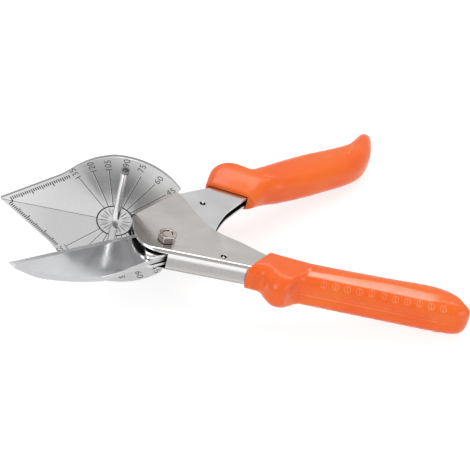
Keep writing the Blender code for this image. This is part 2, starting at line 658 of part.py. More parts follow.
def grip_mesh(name, start, length, slant, out_shares, in_shares, spine, channel_half, outward):
    """Grip lofted from rounded sections. outward is the sign of Y on the spine's outer side."""
    out_table = np.array(smooth(scaled(out_shares, length, GRIP_WIDTH)))
    in_table = np.array(smooth(scaled(in_shares, length, GRIP_WIDTH)))
    even = np.linspace(0, 1 - GRIP_END_SHARE, GRIP_STATIONS)
    tail = 1 - GRIP_END_SHARE * np.cos(np.linspace(0, math.pi / 2, GRIP_CORNER_STEPS + 2)[1:])
    rows = []
    for station in [*even, *tail]:
        outer_x = length * station
        inner_x = slant + (length - slant) * station
        out = np.interp(outer_x, out_table[:, 0], out_table[:, 1])
        reach = np.interp(inner_x, in_table[:, 0], in_table[:, 1])
        width = out + reach
        swell = math.sin(min(1, station / GRIP_SWELL_SHARE) * math.pi / 2)
        mouth_half = channel_half + GRIP_MOUTH_WALL
        half = mouth_half + (GRIP_HALF_THICKNESS - mouth_half) * swell
        into_end = max(0, (station - 1 + GRIP_END_SHARE) / GRIP_END_SHARE)
        half *= 1 - (1 - GRIP_END_THICKNESS_SHARE) * (1 - math.sqrt(1 - into_end**2))
        corner = min(GRIP_CORNER, min(width / 2, half) * GRIP_CORNER_LIMIT_SHARE)
        row = []
        for k in range(4):
            side_w = 1 if k in (0, 3) else -1
            side_z = 1 if k in (0, 1) else -1
            for a in np.linspace(k, k + 1, GRIP_CORNER_STEPS) * math.pi / 2:
                across = side_w * (width / 2 - corner) + corner * math.cos(a)
                z = side_z * (half - corner) + corner * math.sin(a)
                share = (width / 2 - across) / width
                x = start + outer_x + (inner_x - outer_x) * share
                row.append((x, outward * (spine + out - width * share), z))
        rows.append(row)
    count = len(rows[0])
    mesh = bpy.data.meshes.new(name)
    form = bmesh.new()
    loops = [[form.verts.new(place) for place in row] for row in rows]
    for near, far in zip(loops, loops[1:]):
        for i in range(count):
            j = (i + 1) % count
            form.faces.new((near[i], near[j], far[j], far[i]))
    form.faces.new(loops[0])
    form.faces.new(loops[-1])
    bmesh.ops.recalc_face_normals(form, faces=form.faces)
    form.to_mesh(mesh)
    form.free()
    return bpy.data.objects.new(name, mesh)


def pocket(name, open_edge, start, length, spine, half, outward):
    """Room for a channel inside its grip, from in front of the mouth to the channel's end."""
    gap = SEAT_GAP
    edge = [(x, y - outward * gap) for x, y in open_edge if x > start - OVERRUN]
    end = length + gap
    spine_y = outward * (spine + gap)
    outline = [(edge[0][0], spine_y), *edge[:-1], (end, edge[-1][1]), (end, spine_y)]
    return prism(name, outline, -half - gap, half + gap)


def make_grips(shears):
    grip = grip_mesh(
        "anvil_grip", ANVIL_GRIP_START, ANVIL_GRIP_LENGTH, ANVIL_GRIP_SLANT, ANVIL_GRIP_OUT_SHARES,
        ANVIL_GRIP_IN_SHARES, OUTER_SPINE, OUTER_HALF, -1)
    shears.add(grip, shears.grip_plastic)
    shears.cut(grip, pocket(
        "anvil_grip_pocket", outer_open_edge(), ANVIL_GRIP_START, OUTER_LENGTH, OUTER_SPINE, OUTER_HALF, -1))
    grip = grip_mesh(
        "blade_grip", BLADE_GRIP_START, BLADE_GRIP_LENGTH, BLADE_GRIP_SLANT, BLADE_GRIP_OUT_SHARES,
        BLADE_GRIP_IN_SHARES, INNER_SPINE, INNER_HALF, 1)
    shears.add(grip, shears.grip_plastic, moving=True)
    shears.cut(grip, pocket(
        "blade_grip_pocket", inner_open_edge(), BLADE_GRIP_START, INNER_LENGTH, INNER_SPINE, INNER_HALF, 1))


def places_of(thing, depsgraph):
    """World places of an object's evaluated vertices."""
    evaluated = thing.evaluated_get(depsgraph)
    mesh = evaluated.to_mesh()
    places = np.array([thing.matrix_world @ v.co for v in mesh.vertices])
    evaluated.to_mesh_clear()
    return places


def lay_down(shears):
    """Rest the tool on the plate and both grips, with its box centred over the origin."""
    bpy.context.view_layer.update()
    depsgraph = bpy.context.evaluated_depsgraph_get()
    solids = [thing for thing in shears.parts.objects if thing.type != "EMPTY"]
    clouds = {thing.name: places_of(thing, depsgraph) for thing in solids}
    stands = [clouds[name] for name in ("anvil_plate", "anvil_grip", "blade_grip")]
    normal = np.array(UP)
    for _ in range(ROUND_STEPS):
        feet = [cloud[np.argmin(cloud @ normal)] for cloud in stands]
        normal = np.cross(feet[1] - feet[0], feet[2] - feet[0])
        normal = normal / np.linalg.norm(normal)
    turn = Vector(normal).rotation_difference(UP)
    every = np.vstack(list(clouds.values())) @ np.array(turn.to_matrix()).T
    low, high = every.min(axis=0), every.max(axis=0)
    shears.tool.rotation_mode = "QUATERNION"
    shears.tool.rotation_quaternion = turn
    shears.tool.location = (-(low[0] + high[0]) / 2, -(low[1] + high[1]) / 2, -low[2])


def main():
    clear_scene()
    shears = Shears()
    make_anvil_body(shears)
    make_bracket(shears)
    make_plate(shears)
    make_ribs(shears)
    make_blade_body(shears)
    make_blade(shears)
    make_pivot(shears)
    make_spring(shears)
    make_grips(shears)
    lay_down(shears)
    return shears


main()
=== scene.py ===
import json
import math

import bmesh
import bpy
import numpy as np
from mathutils import Matrix, Vector
from mathutils.geometry import delaunay_2d_cdt


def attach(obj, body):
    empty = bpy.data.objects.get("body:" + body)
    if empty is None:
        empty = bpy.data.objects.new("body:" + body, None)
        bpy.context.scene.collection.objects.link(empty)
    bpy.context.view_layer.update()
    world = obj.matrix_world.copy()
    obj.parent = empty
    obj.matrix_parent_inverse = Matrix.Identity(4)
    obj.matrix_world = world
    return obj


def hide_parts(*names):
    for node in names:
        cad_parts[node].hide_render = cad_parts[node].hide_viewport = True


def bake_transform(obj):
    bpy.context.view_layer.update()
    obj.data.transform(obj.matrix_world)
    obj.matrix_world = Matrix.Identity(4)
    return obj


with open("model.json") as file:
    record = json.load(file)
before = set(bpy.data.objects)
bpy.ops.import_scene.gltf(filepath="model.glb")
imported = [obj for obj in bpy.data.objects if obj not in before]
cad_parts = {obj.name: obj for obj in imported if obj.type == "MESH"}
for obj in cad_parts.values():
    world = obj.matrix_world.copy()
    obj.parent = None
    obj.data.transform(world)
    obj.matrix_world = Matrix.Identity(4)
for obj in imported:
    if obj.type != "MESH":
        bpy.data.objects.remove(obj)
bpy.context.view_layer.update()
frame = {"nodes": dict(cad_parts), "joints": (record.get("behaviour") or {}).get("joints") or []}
cadNodes = frame["nodes"]
print("frame loaded:", len(cadNodes), "nodes")

# The tool's own space: pivot at the origin, Z along the bolt, X back along the closed handles
mm = 0.001
pivotJoint = frame["joints"][0]
openAngle = math.radians(-pivotJoint["range_deg"][0])
tilt = Vector((0, 0, 1)).rotation_difference(Vector(pivotJoint["axis"]))
toolPlace = Matrix.Translation(pivotJoint["pos_m"]) @ tilt.to_matrix().to_4x4()
bladePlace = toolPlace @ Matrix.Rotation(openAngle, 4, "Z")
inMillimetres = Matrix.Scale(mm, 4)
toolSpace = toolPlace @ inMillimetres


def rotation(degrees, axis):
    return Matrix.Rotation(math.radians(degrees), 4, axis)


def addObject(name, data):
    thing = bpy.data.objects.new(name, data)
    bpy.context.scene.collection.objects.link(thing)
    return thing


# Camera, at the photograph's angle
photoView = {
    "right": (0.9774569, 0.0445646, 0.2063785),
    "down": (0.1922590, -0.5918531, -0.7827812),
    "forward": (0.0872614, 0.8048129, -0.5870789),
    "offset": (-29.7862, 5.7328, 747.2571),   # the pivot as the camera sees it, in mm
    "focalLength": 135.93, "sensorWidth": 36.0,
}


def makeCamera():
    lens = bpy.data.cameras.new("photoCamera")
    lens.lens = photoView["focalLength"]
    lens.sensor_width = photoView["sensorWidth"]
    lens.clip_start, lens.clip_end = 0.01, 60.0
    camera = addObject("photoCamera", lens)
    look = Matrix((photoView["right"], photoView["down"], photoView["forward"]))
    spot = -(look.transposed() @ Vector(photoView["offset"])) * mm
    turn = Matrix((look[0], -look[1], -look[2])).transposed().to_4x4()
    camera.matrix_world = toolPlace @ Matrix.Translation(spot) @ turn
    bpy.context.scene.camera = camera


makeCamera()
print("camera set")


# Small helpers for meshes
def keepMesh(form, name):
    mesh = bpy.data.meshes.new(name)
    form.to_mesh(mesh)
    form.free()
    return mesh


def evaluatedMesh(thing):
    return bpy.data.meshes.new_from_object(thing.evaluated_get(bpy.context.evaluated_depsgraph_get()))


def drawnMesh(curve):
    # A text or a curve, turned into a plain mesh
    drawn = addObject("drawn", curve)
    mesh = evaluatedMesh(drawn)
    bpy.data.objects.remove(drawn)
    return mesh


def shadeSmooth(mesh, creaseAngle):
    mesh.shade_smooth()
    mesh.set_sharp_from_angle(angle=math.radians(creaseAngle))


def makeObject(name, mesh, finish, creaseAngle=35):
    mesh.materials.clear()
    mesh.materials.append(finish)
    shadeSmooth(mesh, creaseAngle)
    return addObject(name, mesh)


def bakeModifiers(thing):
    mesh = evaluatedMesh(thing)
    thing.modifiers.clear()
    thing.data = mesh
    return thing


def settle(thing, body, slot, *nodes):
    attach(thing, body)
    if nodes:
        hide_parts(*nodes)
    return thing


# How close points merge, in metres, and the angles in degrees up to which faces are one flat and from which
# an edge is rounded
dressing = {"mergeWithin": 0.000003, "flatWithin": 0.6, "sharpFrom": 32}


def mergedForm(node):
    form = bmesh.new()
    form.from_mesh(cadNodes[node].data)
    bmesh.ops.remove_doubles(form, verts=form.verts, dist=dressing["mergeWithin"])
    return form


# Rounding can fold a flat that has holes in it, so flats are cut again from their outlines
flats = {"corners": 12, "facing": 0.99999, "lift": 0.000002}


def flatGroups(form):
    # Groups of joined faces that lie in one plane, for each face with many corners. A group is a dictionary,
    # because a set's order changes from run to run
    seen = set()
    for first in [face for face in form.faces if len(face.verts) > flats["corners"]]:
        if first in seen:
            continue
        group, waiting = {first: True}, [first]
        while waiting:
            face = waiting.pop()
            for near in [n for edge in face.edges for n in edge.link_faces]:
                lift = abs((near.verts[0].co - first.verts[0].co).dot(first.normal))
                level = near.normal.dot(first.normal) > flats["facing"] and lift < flats["lift"]
                if level and near not in group and near not in seen:
                    group[near] = True
                    waiting.append(near)
        seen.update(group)
        yield first.normal.copy(), group


def isInside(spot, corners, links):
    inside = False
    for i, j in links:
        a, b = corners[i], corners[j]
        if (a.y > spot.y) != (b.y > spot.y) and spot.x < (b.x - a.x) * (spot.y - a.y) / (b.y - a.y) + a.x:
            inside = not inside
    return inside


def cutFlatsAgain(mesh):
    form = bmesh.new()
    form.from_mesh(mesh)
    form.normal_update()
    flat = form.faces.layers.int.new("flat")
    for normal, group in list(flatGroups(form)):
        lay = normal.rotation_difference(Vector((0, 0, 1)))
        edges = [edge for face in group for edge in face.edges]
        outline = [edge for edge in edges if sum(face in group for face in edge.link_faces) == 1]
        corners = list(dict.fromkeys(v for edge in outline for v in edge.verts))
        order = {v: i for i, v in enumerate(corners)}
        flatCorners = [(lay @ v.co).to_2d() / mm for v in corners]
        links = [(order[e.verts[0]], order[e.verts[1]]) for e in outline]
        places, _, pieces, olds, _, _ = delaunay_2d_cdt(flatCorners, links, [], 1, 0.00001)
        if len(places) != len(corners):
            continue
        bmesh.ops.delete(form, geom=list(group), context="FACES_KEEP_BOUNDARY")
        for piece in pieces:
            middle = sum((places[k] for k in piece), Vector((0, 0))) / 3
            if isInside(middle, flatCorners, links):
                face = form.faces.new([corners[olds[k][0]] for k in piece])
                face.smooth = True
                face[flat] = 1
                face.normal_update()
                if face.normal.dot(normal) < 0:
                    face.normal_flip()
    form.to_mesh(mesh)
    form.free()


def evenShade(mesh, creaseAngle):
    # Corner normals weighted by area: the flats stay flat and only the narrow rounded edges turn
    limit = math.cos(math.radians(creaseAngle))
    marked = mesh.attributes["flat"].data
    around = [[] for _ in mesh.vertices]
    for face in mesh.polygons:
        weight = 1.0 if marked[face.index].value else face.area
        for corner in face.vertices:
            around[corner].append((face.normal.copy(), weight))
    normals = []
    for face in mesh.polygons:
        for corner in face.vertices:
            near = [normal * weight for normal, weight in around[corner] if normal.dot(face.normal) > limit]
            total = sum(near, Vector())
            normals.append(total.normalized() if total.length > 0 else face.normal)
    mesh.normals_split_custom_set(normals)


def dressedCopy(node, name, finish, edgeRound, creaseAngle):
    # A merged copy of a CAD node with its edges rounded, shaded so that its flats stay flat
    form = mergedForm(node)
    flatWithin = math.radians(dressing["flatWithin"])
    bmesh.ops.dissolve_limit(form, angle_limit=flatWithin, verts=form.verts, edges=form.edges)
    thing = makeObject(name, keepMesh(form, name), finish, creaseAngle)
    rounding = thing.modifiers.new("edgeRound", "BEVEL")
    rounding.width = edgeRound
    rounding.segments = 2
    rounding.limit_method = "ANGLE"
    rounding.angle_limit = math.radians(dressing["sharpFrom"])
    rounding.use_clamp_overlap = False
    rounding.loop_slide = False
    bakeModifiers(thing)
    cutFlatsAgain(thing.data)
    evenShade(thing.data, creaseAngle)
    return thing


def domeProfile(radius, top, drop, steps):
    angles = np.linspace(0, math.pi / 2, steps)
    return [(radius * math.sin(a), top - drop * (1 - math.cos(a))) for a in angles]


def turnedMesh(name, profile, steps=48):
    # Profile of (radius, height) pairs from the top down the outer side, closed at both poles
    form = bmesh.new()
    angles = np.linspace(0, 2 * math.pi, steps, endpoint=False)
    rings = []
    for radius, height in profile:
        around = angles if radius else [0]
        rings.append([form.verts.new((radius * math.cos(a), radius * math.sin(a), height)) for a in around])
    for upper, lower in zip(rings, rings[1:]):
        for i in range(steps):
            corners = [ring[k % steps % len(ring)] for ring, k in (
                (upper, i), (lower, i), (lower, i + 1), (upper, i + 1))]
            form.faces.new(list(dict.fromkeys(corners)))
    bmesh.ops.recalc_face_normals(form, faces=form.faces)
    return keepMesh(form, name)


def loftedMesh(name, rings):
    # Skin over closed rings with as many points each, capped at both ends
    form = bmesh.new()
    loops = [[form.verts.new(place) for place in ring] for ring in rings]
    for near, far in zip(loops, loops[1:]):
        for i in range(len(near)):
            j = (i + 1) % len(near)
            form.faces.new((near[i], near[j], far[j], far[i]))
    form.faces.new(loops[0])
    form.faces.new(loops[-1])
    bmesh.ops.recalc_face_normals(form, faces=form.faces)
    return keepMesh(form, name)


# Small helpers for node trees
def plug(node, inputs):
    for key, value in inputs.items():
        socket = node.inputs[key]
        if isinstance(value, bpy.types.NodeSocket):
            node.id_data.links.new(value, socket)
        elif socket.type == "RGBA" and len(value) == 3:
            socket.default_value = (*value, 1)
        else:
            socket.default_value = value


class Graph:
    # Adds nodes to one tree. Most methods add one node and give its first output
    def __init__(self, tree):
        self.tree = tree

    def outputs(self, kind, inputs=None, **settings):
        node = self.tree.nodes.new(kind)
        for key, value in settings.items():
            setattr(node, key, value)
        plug(node, inputs or {})
        return node.outputs

    def node(self, kind, inputs=None, **settings):
        return self.outputs(kind, inputs, **settings)[0]

    def calc(self, operation, a, b=0.0):
        return self.node("ShaderNodeMath", {0: a, 1: b}, operation=operation)

    def plus(self, a, b):
        return self.calc("ADD", a, b)

    def times(self, first, *others):
        for other in others:
            first = self.calc("MULTIPLY", first, other)
        return first

    def remap(self, value, low, high, toLow=0.0, toHigh=1.0, **settings):
        return self.node("ShaderNodeMapRange", {0: value, 1: low, 2: high, 3: toLow, 4: toHigh}, **settings)

    def spread(self, pattern, toLow, toHigh):
        # Noise lies mostly between 0.3 and 0.7
        return self.remap(pattern, 0.3, 0.7, toLow, toHigh)

    def between(self, share, a, b):
        return self.node("ShaderNodeMix", {0: share, 2: a, 3: b}, data_type="FLOAT")

    def mix(self, share, a, b, blend="MIX"):
        # The same as between, for colours
        return self.outputs("ShaderNodeMix", {0: share, 6: a, 7: b}, data_type="RGBA", blend_type=blend)[2]

    def shaded(self, colour, tone):
        # The colour times the tone
        return self.mix(1.0, colour, tone, "MULTIPLY")

    def ramp(self, value, *stops):
        shades = self.node("ShaderNodeValToRGB", {"Fac": value})
        marks = shades.node.color_ramp.elements
        while len(marks) < len(stops):
            marks.new(0.5)
        for mark, (place, shade) in zip(marks, stops):
            mark.position = place
            mark.color = (shade, shade, shade, 1) if isinstance(shade, (int, float)) else (*shade, 1)
        return shades

    def xyz(self, x=0.0, y=0.0, z=0.0):
        return self.node("ShaderNodeCombineXYZ", {0: x, 1: y, 2: z})

    def split(self, vector):
        return self.outputs("ShaderNodeSeparateXYZ", {0: vector})

    def mirrored(self, ray):
        # Reflected and refracted rays
        return self.calc("MAXIMUM", ray["Is Glossy Ray"], ray["Is Transmission Ray"])


class Finish(Graph):
    # A new material. Its point is the surface point in millimetres, along the axes of the place given
    def __init__(self, name, place):
        self.material = bpy.data.materials.new(name)
        self.material.use_nodes = True
        super().__init__(self.material.node_tree)
        back = place.inverted()
        self.point = self.node("ShaderNodeMapping", {
            "Vector": self.outputs("ShaderNodeTexCoord")["Object"], "Location": back.to_translation() / mm,
            "Rotation": back.to_euler(), "Scale": (1 / mm, 1 / mm, 1 / mm)})

    def noise(self, stretch, detail=3.0, roughness=0.5, at=None):
        stretched = self.node("ShaderNodeMapping", {"Vector": at or self.point, "Scale": stretch})
        return self.node("ShaderNodeTexNoise", {
            "Vector": stretched, "Scale": 1.0, "Detail": detail, "Roughness": roughness})

    def wear(self, low, high):
        # 1 on sharp outer corners
        return self.ramp(self.outputs("ShaderNodeNewGeometry")["Pointiness"], (low, 0.0), (high, 1.0))

    def fromPlateCentre(self):
        away = self.node("ShaderNodeVectorMath", {0: self.point, 1: plateCentre}, operation="SUBTRACT")
        return away, self.outputs("ShaderNodeVectorMath", {0: away}, operation="LENGTH")["Value"]

    def paint(self, colour, roughness, height, strength, depth, more=None):
        bump = self.node("ShaderNodeBump", {"Height": height, "Strength": strength, "Distance": depth})
        plug(self.tree.nodes["Principled BSDF"], {
            "Base Color": colour, "Roughness": roughness, "Normal": bump, "Metallic": 1.0, **(more or {})})
        return self.material


class Build(Graph):
    # A new Geometry Nodes tree with a geometry input, a finish and named sizes
    def __init__(self, name, *sizes):
        super().__init__(bpy.data.node_groups.new(name, "GeometryNodeTree"))
        rows = {"Geometry": "Geometry", "Finish": "Material", **dict.fromkeys(sizes, "Float")}
        rows.update({size: kind for size, kind in (("Count", "Int"), ("Skin", "Object")) if size in sizes})
        for label, kind in rows.items():
            self.tree.interface.new_socket(label, in_out="INPUT", socket_type="NodeSocket" + kind)
        self.tree.interface.new_socket("Geometry", in_out="OUTPUT", socket_type="NodeSocketGeometry")
        self.given = self.outputs("NodeGroupInput")

    def form(self, kind, inputs=None, **settings):
        return self.node("GeometryNode" + kind, inputs, **settings)

    def circle(self, sides, radius):
        return self.form("CurvePrimitiveCircle", {"Resolution": sides, "Radius": radius})

    def swept(self, path, profile, caps=False):
        return self.form("CurveToMesh", {"Curve": path, "Profile Curve": profile, "Fill Caps": caps})

    def finish(self, geometry):
        real = self.form("RealizeInstances", {0: geometry})
        painted = self.form("SetMaterial", {"Geometry": real, "Material": self.given["Finish"]})
        self.outputs("NodeGroupOutput", {0: painted})
        return self.tree


def grow(name, tree, values, place, mesh=None, creaseAngle=35):
    # Runs a tree once on a new object, keeps the mesh and puts its place into it
    thing = addObject(name, mesh or bpy.data.meshes.new(name))
    nodes = thing.modifiers.new("build", "NODES")
    nodes.node_group = tree
    for item in tree.interface.items_tree:
        if item.in_out == "INPUT" and item.name in values:
            nodes[item.identifier] = values[item.name]
    bakeModifiers(thing)
    thing.data.transform(place)
    shadeSmooth(thing.data, creaseAngle)
    return thing


def scaled(colour, share):
    return tuple(share * c for c in colour)


white = (1.0, 1.0, 1.0)


# Finishes. A hollow is half the gap between a channel's walls, and the lowest and highest Y inside it
sheetLook = {
    "lower": (0.545, 0.520, 0.505), "lowerHollow": (3.70, -7.2, 60.0), "lowerSpine": -8.15,
    "upper": (0.625, 0.625, 0.630), "upperHollow": (1.45, -60.0, 28.6),
    # the inside colour is a painted shade, near black, for the faces between a channel's walls
    "worn": (0.86, 0.85, 0.84), "inside": (0.045, 0.043, 0.042), "roughness": (0.17, 0.26), "grain": 0.16,
    "satinFrom": -2.4, "satinTo": 1.6, "satinTone": 0.38, "spineTone": 0.70,
}


def makeSheetSteel(name, place, colour, hollow=None, spine=None):
    # Polished sheet: fine lengthwise grain, faint smears, brighter worn edges, a satin band on the spine with
    # a painted highlight along the fold above it, and the inside between the walls painted near black as
    # shade, and rougher
    look, tree = sheetLook, Finish(name, place)
    grain = tree.noise((0.12, 6.0, 6.0), 4.0)
    smears = tree.noise((0.07, 0.11, 0.11))
    base = tree.shaded(colour, tree.ramp(smears, (0.3, 0.93), (0.7, 1.04)))
    rough = tree.spread(tree.plus(tree.times(grain, 0.5), tree.times(smears, 0.5)), *look["roughness"])
    _, y, z = tree.split(tree.point)
    if spine:
        frayed = tree.plus(z, tree.times(tree.calc("SUBTRACT", grain, 0.5), 1.6))
        start, end = look["satinFrom"], look["satinTo"]
        rising = tree.remap(frayed, start - 0.8, start + 0.8)
        falling = tree.remap(frayed, end + 0.2, end - 0.2)
        mottle = tree.spread(tree.noise((0.9, 1.6, 1.6), 2.0), 0.55, 1.0)
        onSpine = tree.remap(y, spine + 0.4, spine)
        satin = tree.times(rising, falling, onSpine, mottle)
        # painted highlight: the spine below its upper fold is painted in the pale colour of the worn edges
        foldHighlight = tree.remap(frayed, end, end + 1.2)
        base = tree.mix(onSpine, base, tree.mix(foldHighlight, scaled(colour, look["spineTone"]), look["worn"]))
        base = tree.mix(satin, base, scaled(colour, look["satinTone"]))
        rough = tree.plus(rough, tree.times(satin, 0.12))
    base = tree.mix(tree.wear(0.53, 0.60), base, look["worn"])
    if hollow:
        gapHalf, lowest, highest = hollow
        # painted shade: between a channel's walls the sheet is painted near black, and also made rougher
        inGap = tree.remap(tree.calc("ABSOLUTE", z), gapHalf + 0.10, gapHalf + 0.04)
        inside = tree.times(inGap, tree.calc("GREATER_THAN", y, lowest), tree.calc("LESS_THAN", y, highest))
        base = tree.mix(inside, base, look["inside"])
        rough = tree.plus(rough, tree.times(inside, 0.25))
    return tree.paint(base, rough, grain, look["grain"], 0.00003)


plateCentre = (-22.4, 12.5, 0.0)
plateLook = {
    "light": (0.635, 0.635, 0.635), "lower": 0.87, "darkReflection": (0.35, 0.35, 0.353), "rim": (0.32, 0.32, 0.32),
    "worn": (0.9, 0.9, 0.9), "roughness": (0.24, 0.38), "grain": 0.3,
    # how dark a painted reflection fan is, by the share of a turn from the nose, round under the handle and
    # up over the top
    "reflectionFans": (
        (0.0, 0.04), (0.16, 0.0), (0.30, 0.05), (0.50, 0.12), (0.60, 0.16), (0.645, 0.20), (0.675, 0.20),
        (0.70, 0.44), (0.728, 0.96), (0.752, 0.62), (0.775, 0.74), (0.80, 0.60), (0.825, 0.86), (0.848, 0.84),
        (0.864, 0.22), (0.895, 0.04), (1.0, 0.0)),
}


def makePlateSteel():
    # Faced plate: brushing runs round the engraved circle, with the light and dark reflection fans that it
    # shows painted in
    look, tree = plateLook, Finish("facedPlate", toolPlace)
    fromCentre, radius = tree.fromPlateCentre()
    x, y, z = tree.split(fromCentre)
    bearing = tree.calc("ARCTAN2", z, x)
    rings = tree.noise((1.0, 1.2, 1.0), 4.0, 0.6, at=tree.xyz(tree.times(radius, 5.0), bearing))
    onArm = tree.xyz(bearing, tree.times(radius, 0.02))
    flicker, streaks = (tree.noise((count, 1.0, 1.0), 2.0, at=onArm) for count in (3.0, 17.0))
    reflectionFans = tree.ramp(tree.calc("DIVIDE", tree.plus(bearing, math.pi), 2 * math.pi), *look["reflectionFans"])
    nearRim, nearHub = tree.remap(radius, 21.0, 31.0, 1.0, 0.30), tree.remap(radius, 7.5, 16.0)
    unsteady = tree.plus(0.4, tree.plus(tree.times(flicker, 0.6), tree.times(streaks, 0.6)))
    # painted reflection: the lower half is painted a little darker than the upper
    upperHalf = tree.remap(z, -0.3, 0.3, look["lower"], 1.0)
    base = tree.shaded(look["light"], upperHalf)
    # painted reflection: the dark fans are painted into the colour
    base = tree.mix(tree.times(reflectionFans, nearRim, nearHub, unsteady), base, look["darkReflection"])
    base = tree.mix(tree.remap(y, 0.25, 0.45), base, look["rim"])
    worn = tree.times(tree.wear(0.53, 0.60), tree.remap(y, 0.45, 0.25))
    across = tree.node("ShaderNodeVectorMath", {0: fromCentre, 1: (0.0, 1.0, 0.0)}, operation="CROSS_PRODUCT")
    onTool = tree.node("ShaderNodeMapping", {
        "Vector": across, "Rotation": toolPlace.to_euler()}, vector_type="VECTOR")
    inWorld = tree.node("ShaderNodeVectorTransform", {
        0: onTool}, vector_type="VECTOR", convert_from="OBJECT", convert_to="WORLD")
    base, rough = tree.mix(worn, base, look["worn"]), tree.spread(rings, *look["roughness"])
    brushed = {"Anisotropic": 0.55, "Tangent": inWorld}
    return tree.paint(base, rough, rings, look["grain"], 0.00002, brushed)


bladeLook = {
    "colour": (0.70, 0.704, 0.72), "ground": (0.70, 0.705, 0.715), "back": (0.56, 0.56, 0.57),
    "roughness": (0.12, 0.19), "groundRoughness": (0.24, 0.38), "edgeLine": 9.2,
}


def makeBladeSteel():
    # Mirror polish with lengthwise hairlines, and a cross-ground bevel along the cutting edge
    look, tree = bladeLook, Finish("mirrorBlade", bladePlace)
    hairs = tree.noise((0.06, 9.0, 9.0), 5.0, 0.65)
    smears = tree.noise((0.09, 0.16, 0.1))
    grinding = tree.noise((7.0, 0.5, 0.5))
    _, y, z = tree.split(tree.point)
    onBevel = tree.remap(y, look["edgeLine"] - 0.05, look["edgeLine"] + 0.05)
    onBack = tree.times(tree.remap(tree.calc("ABSOLUTE", z), 1.18, 1.05), tree.calc("SUBTRACT", 1.0, onBevel))
    base = tree.shaded(look["colour"], tree.ramp(smears, (0.35, 0.95), (0.65, 1.02)))
    base = tree.mix(onBevel, tree.mix(onBack, base, look["back"]), look["ground"])
    polished = tree.spread(smears, *look["roughness"])
    ground = tree.spread(grinding, *look["groundRoughness"])
    rough = tree.between(tree.calc("MAXIMUM", onBevel, onBack), polished, ground)
    return tree.paint(base, rough, tree.between(onBevel, hairs, grinding), 0.10, 0.00002)


def makeNickel(name, colour, low, high):
    # Plated hardware: slight tarnish in the hollows, bright rubbed corners
    tree = Finish(name, toolPlace)
    spots = tree.noise((0.9, 0.9, 0.9), 4.0, 0.6)
    base = tree.shaded(colour, tree.ramp(spots, (0.3, 0.82), (0.7, 1.05)))
    base = tree.mix(tree.wear(0.52, 0.58), base, (0.93, 0.90, 0.86))
    return tree.paint(base, tree.spread(spots, high, low), tree.noise((9.0, 9.0, 9.0)), 0.15, 0.00002)


def makeInk(name, colour, roughness, paleOut=None):
    # Filled engraving: matt, uneven where the brush missed, and on long lines paler towards the rim
    tree = Finish(name, toolPlace)
    patchy = tree.noise((1.6, 1.6, 1.6), 4.0, 0.7)
    tone = tree.ramp(patchy, (0.32, scaled(colour, 2.6)), (0.6, colour))
    if paleOut:
        tone = tree.mix(tree.remap(tree.fromPlateCentre()[1], 9.0, 24.0), tone, paleOut)
    rough = tree.remap(patchy, 0.0, 1.0, roughness - 0.1, roughness + 0.1)
    return tree.paint(tone, rough, patchy, 0.2, 0.00001, {"Metallic": 0.0})


gripLook = {
    "colour": (1.0, 0.172, 0.020), "deep": (0.97, 0.128, 0.016), "pale": (1.0, 0.27, 0.09),
    # the last two colours are painted highlights: on the moulded rings, dots and seam, and on the panel's
    # sloping facets
    "detailHighlight": (1.0, 0.40, 0.22), "facet": (1.0, 0.43, 0.28), "roughness": (0.24, 0.34),
    "sockets": {
        "Metallic": 0.0, "Specular IOR Level": 0.30, "Coat Weight": 0.12, "Coat Roughness": 0.16,
        "Subsurface Weight": 0.06, "Subsurface Radius": (0.0015, 0.0005, 0.0002)},
}


def makeOrange(name, place, colour):
    # Moulded vinyl: slow colour drift, fine leathery skin, rubbed paler on its ridges, and a painted
    # highlight on the panel's sloping facets
    look, tree = gripLook, Finish(name, place)
    drift = tree.noise((0.05, 0.09, 0.09), 2.0)
    pores = tree.noise((3.2, 3.2, 3.2), 4.0, 0.6)
    waves = tree.noise((0.25, 0.35, 0.35), 2.0)
    base = tree.mix(tree.ramp(drift, (0.35, 0.0), (0.65, 0.8)), colour, look["deep"])
    # painted highlight: the panel's sloping facets are painted paler
    facetHighlight = tree.outputs("ShaderNodeAttribute", attribute_name="facet")["Fac"]
    base = tree.mix(tree.times(facetHighlight, tree.spread(waves, 0.8, 1.0)), base, look["facet"])
    base = tree.mix(tree.times(tree.wear(0.51, 0.58), 0.5), base, look["pale"])
    rough, height = tree.spread(pores, *look["roughness"]), tree.plus(tree.times(pores, 0.25), waves)
    return tree.paint(base, rough, height, 0.25, 0.00008, look["sockets"])


handleSteel = makeSheetSteel(
    "handleSheet", toolPlace, sheetLook["lower"], sheetLook["lowerHollow"], sheetLook["lowerSpine"])
bladeHandleSteel = makeSheetSteel(
    "bladeHandleSheet", bladePlace, sheetLook["upper"], sheetLook["upperHollow"])
plateSteel, bladeSteel = makePlateSteel(), makeBladeSteel()
warmNickel = makeNickel("warmNickel", (0.50, 0.447, 0.395), 0.07, 0.16)
rivetNickel = makeNickel("rivetNickel", (0.76, 0.74, 0.72), 0.16, 0.30)
springWire = makeNickel("springWire", (0.42, 0.42, 0.43), 0.22, 0.36)
# a pale steel for strips beside the engraved lines: a painted highlight
gleamSteel = makeNickel("gleamSteel", (0.62, 0.62, 0.62), 0.3, 0.4)
# a dark finish for the bars' rounded ends: a painted reflection
barEnd = makeNickel("barEnd", (0.17, 0.17, 0.175), 0.42, 0.55)
blackInk = makeInk("blackInk", (0.005, 0.005, 0.005), 0.55)
lineInk = makeInk("lineInk", (0.006, 0.006, 0.006), 0.5, paleOut=(0.02, 0.02, 0.02))
greyInk = makeInk("greyInk", (0.10, 0.10, 0.10), 0.5)
numberInk = makeInk("numberInk", (0.035, 0.035, 0.035), 0.5)
# a paler orange for the moulded rings, dots and seam: a painted highlight
rubbedOrange = makeOrange("rubbedOrange", toolPlace, gripLook["detailHighlight"])
print("finishes made")


